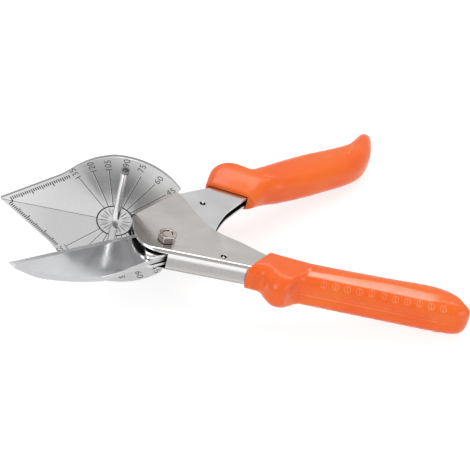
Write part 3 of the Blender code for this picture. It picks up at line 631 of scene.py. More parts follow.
# Sheet metal, plate and blade
sheetPieces = {
    "anvil_body": ("handleChannel", handleSteel, 0.00013, "anvil_handle", "sheet_steel"),
    "blade_body": ("bladeChannel", bladeHandleSteel, 0.00013, "blade_handle", "sheet_steel"),
    "plate_bracket": ("plateBlock", handleSteel, 0.00025, "anvil_handle", "sheet_steel"),
    "anvil_plate": ("anvilPlate", plateSteel, 0.00020, "anvil_handle", "plate_steel"),
    "blade": ("cuttingBlade", bladeSteel, 0.00005, "blade_handle", "blade_steel"),
    "pivot_nut": ("pivotNut", warmNickel, 0.00014, "anvil_handle", "nickel"),
    "pivot_bolt": ("pivotBolt", warmNickel, 0.00010, "anvil_handle", "nickel"),
}
for node, (name, finish, edgeRound, body, slot) in sheetPieces.items():
    creaseAngle = 12 if node == "blade" else 40   # keeps the line of the ground bevel crisp
    settle(dressedCopy(node, name, finish, edgeRound, creaseAngle), body, slot, node)

for node in ("pivot_bush", "pivot_washer_upper", "pivot_washer_lower"):
    cadNodes[node].data.materials.clear()
    cadNodes[node].data.materials.append(handleSteel)
print("sheet metal dressed")


# Engraving on the plate, drawn in its own plane: X towards the handles, Y up along the bolt
markRise = 0.012
plateFace = Matrix.Translation((plateCentre[0], plateCentre[1] - markRise, 0))
plateDrawing = toolSpace @ plateFace @ rotation(90, "X")
engraving = {
    "circleRadius": 7.7, "circleWidth": 0.6, "depth": 0.02,
    "lineEnd": 26.2, "lineWidth": 0.34, "gleamWidth": 0.18, "gleamShift": 0.27,
    "noseTip": -49.3, "noseAngle": 36.9, "middleWidth": 0.22, "middleShort": 0.3,
    "hub": (("Short", 15, 3.6, 6.2), ("Long", 22.5, 2.9, 6.9)),   # step in degrees, start, end
    "hubWidth": 0.22,
    "ticks": 29, "tickWidth": 0.46, "tickLength": 1.5, "longer": 0.5, "rulerStart": 4.3, "rulerInset": 0.9,
    "numberRadius": 29.0, "numberHeight": 2.8, "numberLength": 4.8, "numberThin": -0.004,
    "capitalShare": 0.7, "numberSpacing": 1.04,
    "numberRadii": {90: 30.4, 75: 30.0, 105: 28.3, 120: 28.5, -45: 30.4, -60: 30.0, 135: 28.4, -135: 28.0},
    "numberTurns": {75: 2.2, 120: -1.0},
}


def radialTree():
    # Strokes fanned about the centre
    tree = Build("radialStrokes", "Count", "First Angle", "Step", "Start", "End", "Width", "Shift", "Depth")
    given = tree.given
    length = tree.calc("SUBTRACT", given["End"], given["Start"])
    bar = tree.form("MeshCube", {"Size": tree.xyz(length, given["Width"], given["Depth"])})
    middle = tree.times(tree.plus(given["End"], given["Start"]), 0.5)
    placed = tree.form("Transform", {"Geometry": bar, "Translation": tree.xyz(middle, given["Shift"])})
    row = tree.form("MeshLine", {"Count": given["Count"], "Offset": (0.0, 0.0, 0.0)})
    angle = tree.plus(tree.times(tree.form("InputIndex"), given["Step"]), given["First Angle"])
    return tree.finish(tree.form("InstanceOnPoints", {
        "Points": row, "Instance": placed, "Rotation": tree.xyz(z=angle)}))


def rulerTree():
    # Ticks along X, each fifth one longer and each tenth one longer still
    tree = Build("rulerTicks", "Count", "Pitch", "Short", "Longer", "Width", "Side", "Depth")
    given = tree.given
    row = tree.form("MeshLine", {"Count": given["Count"], "Offset": tree.xyz(given["Pitch"])})
    index = tree.form("InputIndex")
    fifth, tenth = (tree.calc("LESS_THAN", tree.calc("MODULO", index, each), 0.5) for each in (5.0, 10.0))
    length = tree.plus(tree.times(tree.plus(fifth, tenth), given["Longer"]), given["Short"])
    unit = tree.form("MeshCube", {"Size": (1.0, 1.0, 1.0)})
    lifted = tree.form("Transform", {"Geometry": unit, "Translation": (0.0, 0.5, 0.0)})
    size = tree.xyz(given["Width"], tree.times(length, given["Side"]), given["Depth"])
    return tree.finish(tree.form("InstanceOnPoints", {"Points": row, "Instance": lifted, "Scale": size}))


def ringTree():
    # Thin flat ring
    tree = Build("flatRing", "Radius", "Width", "Depth")
    profile = tree.form("CurvePrimitiveQuadrilateral", {0: tree.given["Width"], 1: tree.given["Depth"]})
    return tree.finish(tree.swept(tree.circle(96, tree.given["Radius"]), profile))


radial, ruler, flatRing = radialTree(), rulerTree(), ringTree()
marks = []


def engrave(name, tree, values, place=plateDrawing):
    marks.append(grow(name, tree, {"Shift": 0.0, "Depth": engraving["depth"], **values}, place))


for side, first in (("upper", 45), ("lower", -135)):
    fan = {
        "Count": 7, "First Angle": math.radians(first), "Step": math.radians(15),
        "Start": engraving["circleRadius"], "End": engraving["lineEnd"]}
    engrave(side + "Lines", radial, {**fan, "Finish": lineInk, "Width": engraving["lineWidth"]})
    # painted highlight: a pale strip beside each line, for the light on the groove's edge
    engrave(side + "Gleams", radial, {
        **fan, "Finish": gleamSteel, "Width": engraving["gleamWidth"], "Shift": engraving["gleamShift"]})
for part, turn, begin, end in engraving["hub"]:
    engrave("hubStrokes" + part, radial, {
        "Finish": greyInk, "Count": round(360 / turn), "First Angle": math.radians(turn / 3),
        "Step": math.radians(turn), "Start": begin, "End": end, "Width": engraving["hubWidth"]})
engrave("middleLine", radial, {
    "Finish": numberInk, "Count": 1, "First Angle": math.pi, "Step": 0.0,
    "Start": engraving["circleRadius"], "End": -engraving["noseTip"] - engraving["middleShort"],
    "Width": engraving["middleWidth"]})
engrave("hubCircle", flatRing, {
    "Finish": blackInk, "Radius": engraving["circleRadius"], "Width": engraving["circleWidth"]})
for side, sign in (("upper", 1), ("lower", -1)):
    alongEdge = (
        plateDrawing @ Matrix.Translation((engraving["noseTip"], 0, 0))
        @ rotation(sign * engraving["noseAngle"], "Z")
        @ Matrix.Translation((engraving["rulerStart"], -sign * engraving["rulerInset"], 0))
    )
    engrave(side + "Ruler", ruler, {
        "Finish": blackInk, "Count": engraving["ticks"], "Pitch": 1.0, "Short": engraving["tickLength"],
        "Longer": engraving["longer"], "Width": engraving["tickWidth"], "Side": -float(sign)}, alongEdge)


def engravedNumber(number, degrees):
    # A number that reads outwards along its line
    text = bpy.data.curves.new("number", "FONT")
    text.body = str(number)
    text.align_x, text.align_y = "CENTER", "CENTER"
    text.size = engraving["numberHeight"] / engraving["capitalShare"]
    text.extrude = engraving["depth"] / 2
    text.offset = engraving["numberThin"] * text.size
    text.space_character = engraving["numberSpacing"]
    mesh = drawnMesh(text)
    xs = [v.co.x for v in mesh.vertices]
    squeeze = min(1.0, engraving["numberLength"] / (max(xs) - min(xs)))
    radius = engraving["numberRadii"].get(degrees, engraving["numberRadius"])
    turn = rotation(degrees + engraving["numberTurns"].get(degrees, 0.0), "Z")
    squash = Matrix.Diagonal((squeeze, 1, 1, 1))
    mesh.transform(plateDrawing @ turn @ Matrix.Translation((radius, 0, 0)) @ squash)
    side = "Upper" if degrees > 0 else "Lower"
    return makeObject(f"number{number}{side}", mesh, numberInk)


for number in range(45, 136, 15):
    marks += [engravedNumber(number, number), engravedNumber(number, -number)]
for mark in marks:
    settle(mark, "anvil_handle", "plate_steel")
print("plate engraved:", len(marks), "sets of marks")


# Fence bars, round, with a rounded end that is painted dark, a painted reflection
bars = {
    "radius": 1.6, "start": 1.7, "end": 27.5, "axisY": 11.7, "capLength": 1.5, "capStart": 1.2,
    # painted shade: the lower bar is painted darker than the upper one
    "upperTone": 0.74, "lowerTone": 0.50,
}


def makeBar(name, node, side, shade):
    radius, reach = bars["radius"], bars["end"] - bars["start"]
    foot = [(radius * 0.86, 0.0), (radius * 0.7, -0.12), (0, -0.15)]
    rows = [(radius, z) for z in np.linspace(reach - bars["capLength"], 0.4, 24)]
    cap = [*domeProfile(radius, reach, radius * 0.55, 9), (radius, reach - bars["capStart"])]
    mesh = turnedMesh(name, cap + rows + foot)
    flip = rotation(0 if side > 0 else 180, "X")
    spot = Matrix.Translation((plateCentre[0], bars["axisY"], side * bars["start"]))
    mesh.transform(toolSpace @ spot @ flip)
    steel = makeSheetSteel(name + "Steel", toolPlace @ rotation(90, "Y"), scaled(white, shade))
    bar = makeObject(name, mesh, steel)
    mesh.materials.append(barEnd)
    along = toolPlace.to_3x3() @ Vector((0, 0, side))
    capFoot = side * (bars["end"] - bars["capLength"])
    capFrom = toolPlace @ (Vector((plateCentre[0], bars["axisY"], capFoot)) * mm)
    for face in mesh.polygons:
        if (face.center - capFrom).dot(along) > 0:
            face.material_index = 1
    settle(bar, "anvil_handle", "plate_steel", node)


makeBar("upperBar", "fence_rib_upper", 1, bars["upperTone"])
makeBar("lowerBar", "fence_rib_lower", -1, bars["lowerTone"])
print("fence bars made")


# Rivets, with low domed heads: name, body, and radius of the shank, radius and height of the head
rivets = {
    "bracket_rivet_front": ("blockRivetFront", "anvil_handle", 1.5, 2.3, 0.9),
    "bracket_rivet_rear": ("blockRivetRear", "anvil_handle", 1.5, 2.3, 0.9),
    "blade_rivet_front": ("bladeRivetFront", "blade_handle", 1.25, 2.1, 0.3),
    "blade_rivet_rear": ("bladeRivetRear", "blade_handle", 1.25, 2.1, 0.3),
}
for node, (name, body, shank, head, rise) in rivets.items():
    points = np.array([(toolPlace.inverted() @ v.co) / mm for v in cadNodes[node].data.vertices])
    low, high = points.min(axis=0), points.max(axis=0)
    under = high[2] - rise
    half = [*domeProfile(head, high[2], rise * 0.7, 8), (head, under), (shank, under)]
    mesh = turnedMesh(name, half + [(r, -z) for r, z in half[::-1]], 40)
    middle = ((low[0] + high[0]) / 2, (low[1] + high[1]) / 2, 0)
    mesh.transform(toolSpace @ Matrix.Translation(middle))
    settle(makeObject(name, mesh, rivetNickel), body, "nickel", node)
print("rivets made")


# Bolt thread, standing inside the nut
thread = {"radius": 1.86, "pitch": 0.7, "turns": 4.0, "depth": 0.3, "top": 7.75}


def threadTree():
    tree = Build("boltThread", "Radius", "Turns", "Height", "Depth")
    given = tree.given
    spiral = tree.form("CurveSpiral", {
        "Resolution": 40, "Rotations": given["Turns"], "Start Radius": given["Radius"],
        "End Radius": given["Radius"], "Height": given["Height"]})
    return tree.finish(tree.swept(spiral, tree.circle(4, given["Depth"]), caps=True))


threadHeight = thread["pitch"] * thread["turns"]
boltThread = grow("boltThread", threadTree(), {
    "Finish": warmNickel, "Radius": thread["radius"], "Turns": thread["turns"], "Height": threadHeight,
    "Depth": thread["depth"]},
    toolSpace @ Matrix.Translation((0, 0, thread["top"] - threadHeight)), creaseAngle=20)
settle(boltThread, "anvil_handle", "nickel")
print("thread cut")


# Return spring, one round coil with two hooked legs
springShape = {
    "wire": 1.0, "coilRadius": 3.6, "coilCentre": (14.5, 15.0), "outerHole": (24.8, -4.2),
    "innerHole": (31.0, 19.5), "level": 0.75, "outerTip": 4.65, "innerTip": 3.2, "coilPoints": 60,
    "bendFrom": (0.0237, -0.0005, 0), "bendTo": (0.0149, 0.0303, 0),
}


def springHook(hole, touch, leg, tip):
    # One leg's end: from its tip in the hole, round a bend of the wire's own width
    corner, up = Vector((*hole, leg)), Vector((0, 0, 1))
    run = Vector((touch[0] - hole[0], touch[1] - hole[1], 0)).normalized()
    quarter = np.linspace(0, math.pi / 2, 7)
    bend = [corner + up * (1 - math.sin(a)) + run * (1 - math.cos(a)) for a in quarter]
    return [corner + up * (tip - leg), *bend]


def springRoute():
    cx, cy = springShape["coilCentre"]
    hx, hy = springShape["innerHole"]
    c, s = math.cos(openAngle), math.sin(openAngle)
    holes = (springShape["outerHole"], (hx * c - hy * s, hx * s + hy * c))
    radius, level = springShape["coilRadius"], springShape["level"]
    bearings = []
    for (x, y), side in zip(holes, (1, -1)):
        distance = math.hypot(x - cx, y - cy)
        bearings.append(math.atan2(y - cy, x - cx) + side * math.acos(radius / distance))
    start, end = bearings
    while end < start + math.pi:
        end += 2 * math.pi
    coil = [
        Vector((cx + radius * math.cos(a), cy + radius * math.sin(a), level * (2 * t - 1)))
        for t, a in zip(*(np.linspace(*ends, springShape["coilPoints"]) for ends in ((0, 1), (start, end))))
    ]
    first = springHook(holes[0], coil[0], -level, springShape["outerTip"])
    last = springHook(holes[1], coil[-1], level, springShape["innerTip"])
    return first + coil + last[::-1]


def springCurve(route):
    curve = bpy.data.curves.new("springWire", "CURVE")
    curve.dimensions = "3D"
    curve.bevel_depth = springShape["wire"] / 2
    curve.bevel_resolution = 4
    curve.use_fill_caps = True
    line = curve.splines.new("POLY")
    line.points.add(len(route) - 1)
    for point, place in zip(line.points, route):
        point.co = (*place, 1)
    return curve


springMesh = drawnMesh(springCurve(springRoute()))
springMesh.transform(toolSpace)
returnSpring = makeObject("returnSpring", springMesh, springWire)
toolPlace @ Vector(springShape["bendFrom"])
toolPlace @ Vector(springShape["bendTo"])
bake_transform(returnSpring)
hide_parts("return_spring")
print("spring wound")


# Grips, lofted from the same tables as the frame's, with the moulded detail. "out" and "reach" give how far
# the skin stands out from the spine and in from it, along the grip, as shares of its length and width
lowerGrip = {
    "name": "lowerGrip", "node": "anvil_grip", "channel": "anvil_body", "body": "anvil_handle",
    "place": toolPlace, "outward": -1, "start": 35.1, "length": 96.6, "slant": 10.2, "spine": 8.3,
    "channelHalf": 5.05, "channelEnd": 112.0,
    "outerCorner": (5.2, 4.6), "innerCorner": (4.2, 4.2), "crown": 0.55,
    "out": (
        (0.0, 0.14), (0.031, 0.156), (0.067, 0.23), (0.094, 0.5), (0.125, 0.72), (0.167, 0.735),
        (0.202, 0.54), (0.235, 0.3), (0.281, 0.27), (0.435, 0.29), (0.632, 0.312), (0.827, 0.34),
        (0.921, 0.35), (0.962, 0.31), (0.988, 0.2), (1.0, 0.1)),
    "reach": (
        (0.0, 0.955), (0.078, 0.95), (0.156, 0.83), (0.259, 0.73), (0.342, 0.695), (0.632, 0.723),
        (0.794, 0.766), (0.879, 0.69), (0.941, 0.47), (0.978, 0.16), (1.0, 0.02)),
    # where along the handle, height, half length, half height and depth
    "hollows": ((41.5, 1.0, 2.6, 3.6, 0.5), (55.4, 2.0, 2.2, 4.4, 0.45)),
    "frontCorner": (7.0, 6.4), "endThickness": 0.45, "panel": (58.0, 119.5, 0.30),
    "facet": (60.0, ((58.0, 2.4), (75.0, 3.6), (95.0, 5.2), (112.0, 4.4))),
}
upperGrip = {
    "name": "upperGrip", "node": "blade_grip", "channel": "blade_body", "body": "blade_handle",
    "place": bladePlace, "outward": 1, "start": 39.7, "length": 96.4, "slant": 16.0, "spine": 29.7,
    "channelHalf": 2.8, "channelEnd": 112.0,
    "outerCorner": (4.2, 4.2), "innerCorner": (8.6, 6.6), "crown": 0.5,
    "out": (
        (0.0, 0.07), (0.03, 0.3), (0.079, 0.61), (0.125, 0.7), (0.161, 0.6), (0.192, 0.28), (0.225, 0.15),
        (0.285, 0.15), (0.415, 0.24), (0.56, 0.32), (0.7, 0.33), (0.834, 0.385), (0.903, 0.56),
        (0.963, 0.78), (0.985, 0.82), (1.0, 0.77)),
    "reach": (
        (0.0, 1.15), (0.10, 1.14), (0.156, 1.10), (0.2, 1.01), (0.258, 0.91), (0.376, 0.935), (0.495, 0.945),
        (0.624, 0.89), (0.76, 0.80), (0.85, 0.63), (0.92, 0.32), (0.965, 0.0), (1.0, -0.30)),
    "hollows": (), "frontCorner": (4.2, 4.2), "endThickness": 0.66, "panel": None, "facet": None,
}
gripMould = {
    "width": 14.1, "halfThickness": 8.3, "mouthWall": 1.7, "swellShare": 0.14, "endShare": 0.085,
    "lipRound": 0.55, "stations": 190, "seatGap": 0.3, "edgeLead": 8, "foldDepth": 1.7,
    "frontEnds": (50.0, 58.0),
    "panelEnds": (112.0, 121.0), "highlightInset": 1.9, "highlightEnds": (112.0, 119.0),
    "facetRows": (20, 27), "highlightStrength": (0.5, 1.0, 1.0, 0.95, 0.85, 0.45, 0.0),
}
quarterTurn = np.linspace(0, math.pi / 2, 14, endpoint=False)


def smoothCurve(points, steps=6):
    guide = [points[0], *points, points[-1]]
    out = []
    for i in range(1, len(guide) - 2):
        p0, p1, p2, p3 = (np.array(p, dtype=float) for p in guide[i - 1:i + 3])
        for t in np.linspace(0, 1, steps, endpoint=False):
            bend = (2 * p0 - 5 * p1 + 4 * p2 - p3) * t**2 + (3 * p1 - p0 - 3 * p2 + p3) * t**3
            out.append((2 * p1 + (p2 - p0) * t + bend) / 2)
    out.append(np.array(points[-1], dtype=float))
    return np.array(out)


def softStep(value, low, high):
    t = np.clip((value - low) / (high - low), 0, 1)
    return t * t * (3 - 2 * t)


def stretch(first, last, count):
    return np.linspace(first, last, count, endpoint=False)


def gripSection(width, half, outerCorner, innerCorner, crown, facet, share):
    # Rounded section as (across, height) pairs, from the middle of the outer side up and round. A facet,
    # given by the angle where the outer corner stops and its width, slopes on from there to the flat, in the
    # share given
    ao, bo = min(outerCorner[0], width * 0.48), min(outerCorner[1], half * 0.96)
    ai, bi = min(innerCorner[0], width * 0.48), min(innerCorner[1], half * 0.96)
    flatEnd = ai - width / 2

    def corner(angles):
        return [(width / 2 - ao + ao * math.cos(a), half - bo + bo * math.sin(a)) for a in angles]

    over = corner(quarterTurn) + [(w, half) for w in stretch(width / 2 - ao, flatEnd, 12)]
    if share > 0:
        stop, reach = math.radians(facet[0]), facet[1]
        crest = np.array(corner([stop])[0])
        fold = np.array((max(crest[0] - reach, flatEnd + 0.4), half))
        slope = [tuple(crest + (fold - crest) * t) for t in (0.0, 0.04, 0.12, 0.35, 0.65, 0.9, 0.97)]
        cutOver = corner(stretch(0, stop, 14)) + slope + [(w, half) for w in stretch(fold[0], flatEnd, 5)]
        over = [
            (plain[0] + (cut[0] - plain[0]) * share, plain[1] + (cut[1] - plain[1]) * share)
            for plain, cut in zip(over, cutOver)
        ]
    side = [(width / 2, z) for z in stretch(0, half - bo, 6)]
    under = [(flatEnd - ai * math.sin(a), half - bi + bi * math.cos(a)) for a in quarterTurn]
    inner = [(-width / 2, z) for z in stretch(half - bi, 0, 6)]
    top = side + over + under + inner
    rows = top + [(-width / 2, 0.0)] + [(w, -z) for w, z in top[:0:-1]]
    return [(w, z - math.copysign(crown, z) * (2 * w / width) ** 2 * abs(z) / half) for w, z in rows]


def gripStation(grip, station, stand, depth):
    # One ring of the grip's skin, at a share of its length, from how far it stands out and reaches in
    mould, x = gripMould, grip["start"] + grip["length"] * station
    lip = mould["lipRound"] / grip["length"]
    width = stand + depth
    swell = math.sin(min(1, station / mould["swellShare"]) * math.pi / 2)
    mouth = grip["channelHalf"] + mould["mouthWall"]
    half = mouth + (mould["halfThickness"] - mouth) * swell
    intoEnd = max(0, (station - 1 + mould["endShare"]) / mould["endShare"])
    half *= 1 - (1 - grip["endThickness"]) * (1 - math.sqrt(1 - intoEnd**2))
    inset = mould["lipRound"] * (1 - math.sqrt(max(0, 1 - (1 - station / lip) ** 2))) if station < lip else 0
    inFront, onPanel, facet = 1.0, 0.0, None
    if grip["panel"]:
        facet = (grip["facet"][0], np.interp(x, *zip(*grip["facet"][1])))
        inFront = 1 - softStep(x, *mould["frontEnds"])
        start = grip["panel"][0]
        onPanel = softStep(x, start, start + 0.6) * (1 - softStep(x, *mould["panelEnds"]))
    tight = 1 - 0.35 * (1 - swell)   # the corners are tighter at the mouth
    corners = zip(grip["frontCorner"], grip["outerCorner"])
    outer = [(a * inFront + b * (1 - inFront)) * tight for a, b in corners]
    section = gripSection(
        width - 2 * inset, half - inset, outer, scaled(grip["innerCorner"], tight), grip["crown"] * swell,
        facet, onPanel)
    row = []
    for across, z in section:
        share = (width / 2 - across) / width
        along = x + grip["slant"] * (1 - station) * share
        row.append((along, grip["outward"] * (grip["spine"] + stand - width * share), z))
    return row


def gripPoints(grip):
    # The grip's skin as an array of stations by points, in the tool's millimetres
    length, endShare = grip["length"], gripMould["endShare"]
    out, reach = (
        smoothCurve([(length * x, gripMould["width"] * y) for x, y in grip[side]])
        for side in ("out", "reach"))
    lip = gripMould["lipRound"] / length
    mouth = lip * (1 - np.cos(np.linspace(0, math.pi / 2, 6)))
    even = np.linspace(lip, 1 - endShare, gripMould["stations"])[1:]
    tail = 1 - endShare * np.cos(np.linspace(0, math.pi / 2, 22)[1:])
    rows = []
    for station in [*mouth, *even, *tail]:
        stand = np.interp(length * station, *out.T)
        depth = np.interp(grip["slant"] + (length - grip["slant"]) * station, *reach.T)
        rows.append(gripStation(grip, station, stand, depth))
    return np.array(rows)


def skinNormals(points):
    along = np.gradient(points, axis=0)
    around = np.roll(points, -1, axis=1) - np.roll(points, 1, axis=1)
    normal = np.cross(along, around)
    normal /= np.maximum(np.linalg.norm(normal, axis=2, keepdims=True), 1e-9)
    centre = points.mean(axis=1, keepdims=True)
    return normal * np.sign(((points - centre) * normal).sum(axis=2).mean())


def onOuterSide(points):
    # The points of each ring that lie on the outer side, away from the other handle
    around = np.arange(points.shape[1])[None, :] / points.shape[1]
    return (around < 0.30) | (around > 0.70)


def mouldedSkin(grip):
    points = gripPoints(grip)
    normal = skinNormals(points)
    x, y, z = np.moveaxis(points, 2, 0)
    shift = np.zeros(x.shape)
    for hx, hz, sx, sz, depth in grip["hollows"]:
        for side in (1, -1):
            shift -= depth * np.exp(-((x - hx) / sx) ** 2 - ((z - side * hz) / sz) ** 2)
    if grip["panel"]:
        low, high, rise = grip["panel"]
        ends = softStep(x, low, low + 0.5) * (1 - softStep(x, high, high + 3.0))
        edge = 0.035 * (x - low) - 3.2   # the raised panel's upper edge, sloping along the grip
        shift += rise * ends * (1 - softStep(y, edge, edge + 0.8)) * softStep(np.abs(z), 0.35, 0.9)
    return points + normal * (shift * onOuterSide(points))[:, :, None], normal


def facetShare(grip, points):
    # 1 on the sloping facets of the panel, which are painted paler as a highlight, and 0 elsewhere
    share = np.zeros(points.shape[:2])
    if grip["panel"]:
        slope = np.arange(*gripMould["facetRows"])
        rows = np.concatenate((slope, points.shape[1] - slope))
        x = points[:, rows, 0]
        low = grip["panel"][0] + gripMould["highlightInset"]
        ends = softStep(x, low, low + 0.8) * (1 - softStep(x, *gripMould["highlightEnds"]))
        share[:, rows] = np.tile(gripMould["highlightStrength"], 2) * ends
    return share


def channelEdge(grip):
    # Open edge of the channel's wall beyond the mouth, as (x, y) pairs sorted along the handle
    form = mergedForm(grip["channel"])
    form.transform(grip["place"].inverted())
    edge = {}
    for v in form.verts:
        onWall = abs(v.co.z - grip["channelHalf"] * mm) < 0.00003
        if onWall and v.co.x > (grip["start"] - gripMould["edgeLead"]) * mm:
            key = round(v.co.x / mm, 1)
            edge[key] = max(edge.get(key, -1e9), -grip["outward"] * v.co.y / mm)
    form.free()
    fold = grip["spine"] - gripMould["foldDepth"]
    return [(x, -grip["outward"] * y) for x, y in sorted(edge.items()) if y > 1.0 - fold]


def makePocket(grip):
    # The channel's own shape and a little more, to cut out of the grip
    gap, outward = gripMould["seatGap"], grip["outward"]
    edge = [(x, y - outward * gap) for x, y in channelEdge(grip)]
    end = grip["channelEnd"] + gap
    spineY = outward * (grip["spine"] + gap)
    outline = [(edge[0][0], spineY), *edge, (end, edge[-1][1]), (end, spineY)]
    half = grip["channelHalf"] + gap
    mesh = loftedMesh("pocket", [[(x, y, z) for x, y in outline] for z in (-half, half)])
    mesh.transform(grip["place"] @ inMillimetres)
    return addObject("pocket", mesh)


def makeGrip(grip):
    points, normal = mouldedSkin(grip)
    mesh = loftedMesh(grip["name"], points.tolist())
    # the painted highlight on the panel's facets, carried as a point attribute
    pale = mesh.attributes.new("facet", "FLOAT", "POINT")
    pale.data.foreach_set("value", facetShare(grip, points).ravel())
    mesh.transform(grip["place"] @ inMillimetres)
    orange = makeOrange(grip["name"] + "Orange", grip["place"], gripLook["colour"])
    thing, pocket = makeObject(grip["name"], mesh, orange, 50), makePocket(grip)
    thing.modifiers.new("pocket", "BOOLEAN").object = pocket
    bakeModifiers(thing)
    bpy.data.objects.remove(pocket)
    shadeSmooth(thing.data, 50)
    return settle(thing, grip["body"], "orange_plastic", grip["node"]), points, normal


# each grip's table, its object, and the points and normals of its skin
grips = [(grip, *makeGrip(grip)) for grip in (lowerGrip, upperGrip)]
print("grips moulded")


# Moulded oval rings, dots and seam on both grips, in a paler orange that is a painted highlight
trim = {
    "ovals": 11, "first": 67.5, "pitch": 5.16, "height": 6.3, "oval": (0.62, 1.45), "ovalGap": 1.15,
    "wire": 0.17, "ovalSink": 0.09, "dot": 0.26, "dotHeight": 0.95, "dotSpread": 0.65, "dotSink": 0.10,
    "seam": (58.6, 119.0), "seamStep": 1.5, "seamHeight": -0.8, "seamWire": 0.16, "seamSink": 0.05,
}


def ringsTree():
    # A pair of oval rings at each point, laid on the grip's skin and sunk a little into it
    tree = Build("skinRings", "Skin", "Half Width", "Half Height", "Spacing", "Wire", "Sink")
    given = tree.given
    size = tree.xyz(given["Half Width"], given["Half Height"], 1.0)
    pair = tree.form("JoinGeometry")
    for side in (-0.5, 0.5):
        shift = tree.xyz(tree.times(given["Spacing"], side))
        oval = tree.form("Transform", {"Geometry": tree.circle(28, 1.0), "Translation": shift, "Scale": size})
        plug(pair.node, {0: oval})
    outwards, along = (
        tree.form("InputNamedAttribute", {"Name": label}, data_type="FLOAT_VECTOR")
        for label in ("outwards", "alongSkin"))
    stand = tree.node("FunctionNodeAlignRotationToVector", {"Vector": outwards}, axis="Z")
    turn = tree.node("FunctionNodeAlignRotationToVector", {
        "Rotation": stand, "Vector": along}, axis="X", pivot_axis="Z")
    rings = tree.form("InstanceOnPoints", {"Points": given["Geometry"], "Instance": pair, "Rotation": turn})
    skin = tree.outputs("GeometryNodeObjectInfo", {"Object": given["Skin"]})["Geometry"]
    nearest = tree.outputs("GeometryNodeProximity", {0: skin}, target_element="FACES")["Position"]
    inwards = tree.node("ShaderNodeVectorMath", {
        0: outwards, "Scale": tree.times(given["Sink"], -1.0)}, operation="SCALE")
    laid = tree.form("SetPosition", {
        "Geometry": tree.form("RealizeInstances", {0: rings}), "Position": nearest, "Offset": inwards})
    return tree.finish(tree.swept(laid, tree.circle(8, given["Wire"])))


def dotsTree():
    # Small domes on points
    tree = Build("skinDots", "Radius")
    dome = tree.form("MeshIcoSphere", {"Radius": tree.given["Radius"], "Subdivisions": 3})
    return tree.finish(tree.form("InstanceOnPoints", {"Points": tree.given["Geometry"], "Instance": dome}))


def seamTree():
    # A fine ridge along a line of points
    tree = Build("skinSeam", "Wire")
    path = tree.form("MeshToCurve", {0: tree.given["Geometry"]})
    return tree.finish(tree.swept(path, tree.circle(8, tree.given["Wire"]), caps=True))


def skinPoint(points, normal, x, z, sink=0.0):
    # The point of the outer skin nearest to a place along the handle and a height, sunk a little into it
    away = (points[:, :, 0] - x) ** 2 + (points[:, :, 2] - z) ** 2 * 4
    away += np.where(onOuterSide(points), 0, 1e6)
    i, j = np.unravel_index(np.argmin(away), away.shape)
    i = min(max(i, 1), len(points) - 2)
    along = points[i + 1, j] - points[i - 1, j]
    place = points[i, j] + along * ((x - points[i, j, 0]) / along[0])
    return place - normal[i, j] * sink, normal[i, j], along / np.linalg.norm(along)


def pointMesh(name, places, onTool, joined):
    # Points on the skin as a loose mesh, each with the ways out of the skin and along it
    mesh = bpy.data.meshes.new(name)
    links = [(k, k + 1) for k in range(len(places) - 1)] if joined else []
    mesh.from_pydata([onTool @ Vector(row[0]) for row in places], links, [])
    turn = np.array(onTool.to_quaternion().to_matrix())
    for label, column in (("outwards", 1), ("alongSkin", 2)):
        layer = mesh.attributes.new(label, "FLOAT_VECTOR", "POINT")
        layer.data.foreach_set("vector", (np.array([row[column] for row in places]) @ turn.T).ravel())
    return mesh


ringsOnSkin, dotsOnSkin, seamOnSkin = ringsTree(), dotsTree(), seamTree()
ovalPlaces = [trim["first"] + trim["pitch"] * k for k in range(trim["ovals"])]
for grip, thing, points, normal in grips:
    ovals = [skinPoint(points, normal, x, side * trim["height"]) for side in (1, -1) for x in ovalPlaces]
    dots = [
        skinPoint(points, normal, x - trim["pitch"] / 2 + step, trim["dotHeight"], trim["dotSink"])
        for x in ovalPlaces for step in (-trim["dotSpread"], trim["dotSpread"])
    ]
    seam = [
        skinPoint(points, normal, x, trim["seamHeight"], trim["seamSink"])
        for x in np.arange(*trim["seam"], trim["seamStep"])
    ]
    width, height = trim["oval"]
    details = (
        ("Ovals", ringsOnSkin, ovals, {
            "Half Width": width * mm, "Half Height": height * mm, "Spacing": trim["ovalGap"] * mm,
            "Wire": trim["wire"] * mm, "Sink": trim["ovalSink"] * mm, "Skin": thing}),
        ("Dots", dotsOnSkin, dots, {"Radius": trim["dot"] * mm}),
        ("Seam", seamOnSkin, seam, {"Wire": trim["seamWire"] * mm}),
    )
    for label, tree, places, values in details:
        start = pointMesh(label + "Points", places, grip["place"] @ inMillimetres, label == "Seam")
        # the details take the paler orange, their painted highlight
        values["Finish"] = rubbedOrange
        detail = grow(grip["name"] + label, tree, values, Matrix.Identity(4), start)
        settle(detail, grip["body"], "orange_plastic")
print("grip details set")


# Floor, background and soft studio light
studio = {
    "floorSize": 30.0, "floorDrop": 0.0002, "floorGlow": 0.78, "floorColour": 0.36, "skyForDiffuse": 0.42,
    "behind": 0.88, "inFront": 0.52, "above": 0.66,
}


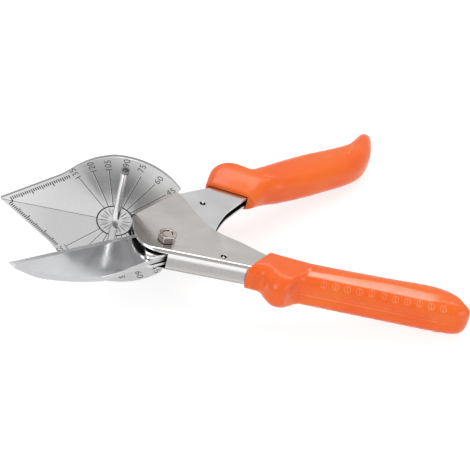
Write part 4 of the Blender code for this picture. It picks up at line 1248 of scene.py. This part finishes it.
def makeFloor():
    finish = bpy.data.materials.new("paleFloor")
    finish.use_nodes = True
    finish.node_tree.nodes.clear()
    tree = Graph(finish.node_tree)
    matt = tree.node("ShaderNodeBsdfDiffuse", {"Color": scaled(white, studio["floorColour"])})
    glow = tree.node("ShaderNodeEmission", {"Color": white, "Strength": studio["floorGlow"]})
    both = tree.node("ShaderNodeAddShader", {0: matt, 1: glow})
    pale = tree.node("ShaderNodeBsdfDiffuse", {"Color": (0.8, 0.8, 0.8)})
    ray = tree.outputs("ShaderNodeLightPath")
    seen = tree.calc("MAXIMUM", ray["Is Camera Ray"], tree.mirrored(ray))
    shown = tree.node("ShaderNodeMixShader", {0: seen, 1: pale, 2: both})
    tree.outputs("ShaderNodeOutputMaterial", {0: shown})
    form = bmesh.new()
    bmesh.ops.create_grid(form, x_segments=1, y_segments=1, size=studio["floorSize"] / 2)
    mesh = keepMesh(form, "floor")
    mesh.materials.append(finish)
    floor = addObject("floor", mesh)
    floor.location.z = -studio["floorDrop"]


def makeSky():
    world = bpy.data.worlds.new("studio")
    bpy.context.scene.world = world
    world.use_nodes = True
    world.node_tree.nodes.clear()
    tree = Graph(world.node_tree)
    x, y, z = tree.split(tree.outputs("ShaderNodeTexCoord")["Generated"])
    # as metal sees it: a bright wall behind the tool, a greyer room in front and a pale ceiling
    wall = tree.remap(y, -0.35, 0.45, studio["inFront"], studio["behind"], interpolation_type="SMOOTHSTEP")
    high = tree.remap(z, 0.72, 0.95, interpolation_type="SMOOTHSTEP")
    room = tree.between(high, wall, studio["above"])
    ray = tree.outputs("ShaderNodeLightPath")
    soft = tree.mix(tree.mirrored(ray), scaled(white, studio["skyForDiffuse"]), room)
    shown = tree.mix(ray["Is Camera Ray"], soft, white)
    light = tree.node("ShaderNodeBackground", {"Color": shown, "Strength": 1.0})
    tree.outputs("ShaderNodeOutputWorld", {0: light})


# Where each lamp stands seen from the pivot, in metres along the tool's own axes, with the light it gives
lamps = {
    "softbox": {"at": (0.09, 0.40, 0.91), "size": (1.1, 0.22), "glow": 5.2},
    "frontLeft": {"at": (-0.62, -0.62, 0.50), "size": (0.6, 0.5), "glow": 4.2},
    "frontRight": {"at": (0.80, -0.55, 0.30), "size": (0.5, 0.5), "glow": 2.6},
}


def makeLamps():
    for name, lamp in lamps.items():
        light = bpy.data.lights.new(name, "AREA")
        light.shape = "RECTANGLE"
        light.size, light.size_y = lamp["size"]
        light.energy = lamp["glow"] * math.pi * light.size * light.size_y
        thing = addObject(name, light)
        away = toolPlace.to_3x3() @ Vector(lamp["at"])
        thing.location = toolPlace.translation + away
        thing.rotation_euler = (-away).to_track_quat("-Z", "Y").to_euler()


makeFloor()
makeSky()
makeLamps()
bpy.context.scene.view_settings.view_transform = "Standard"
print("studio lit")
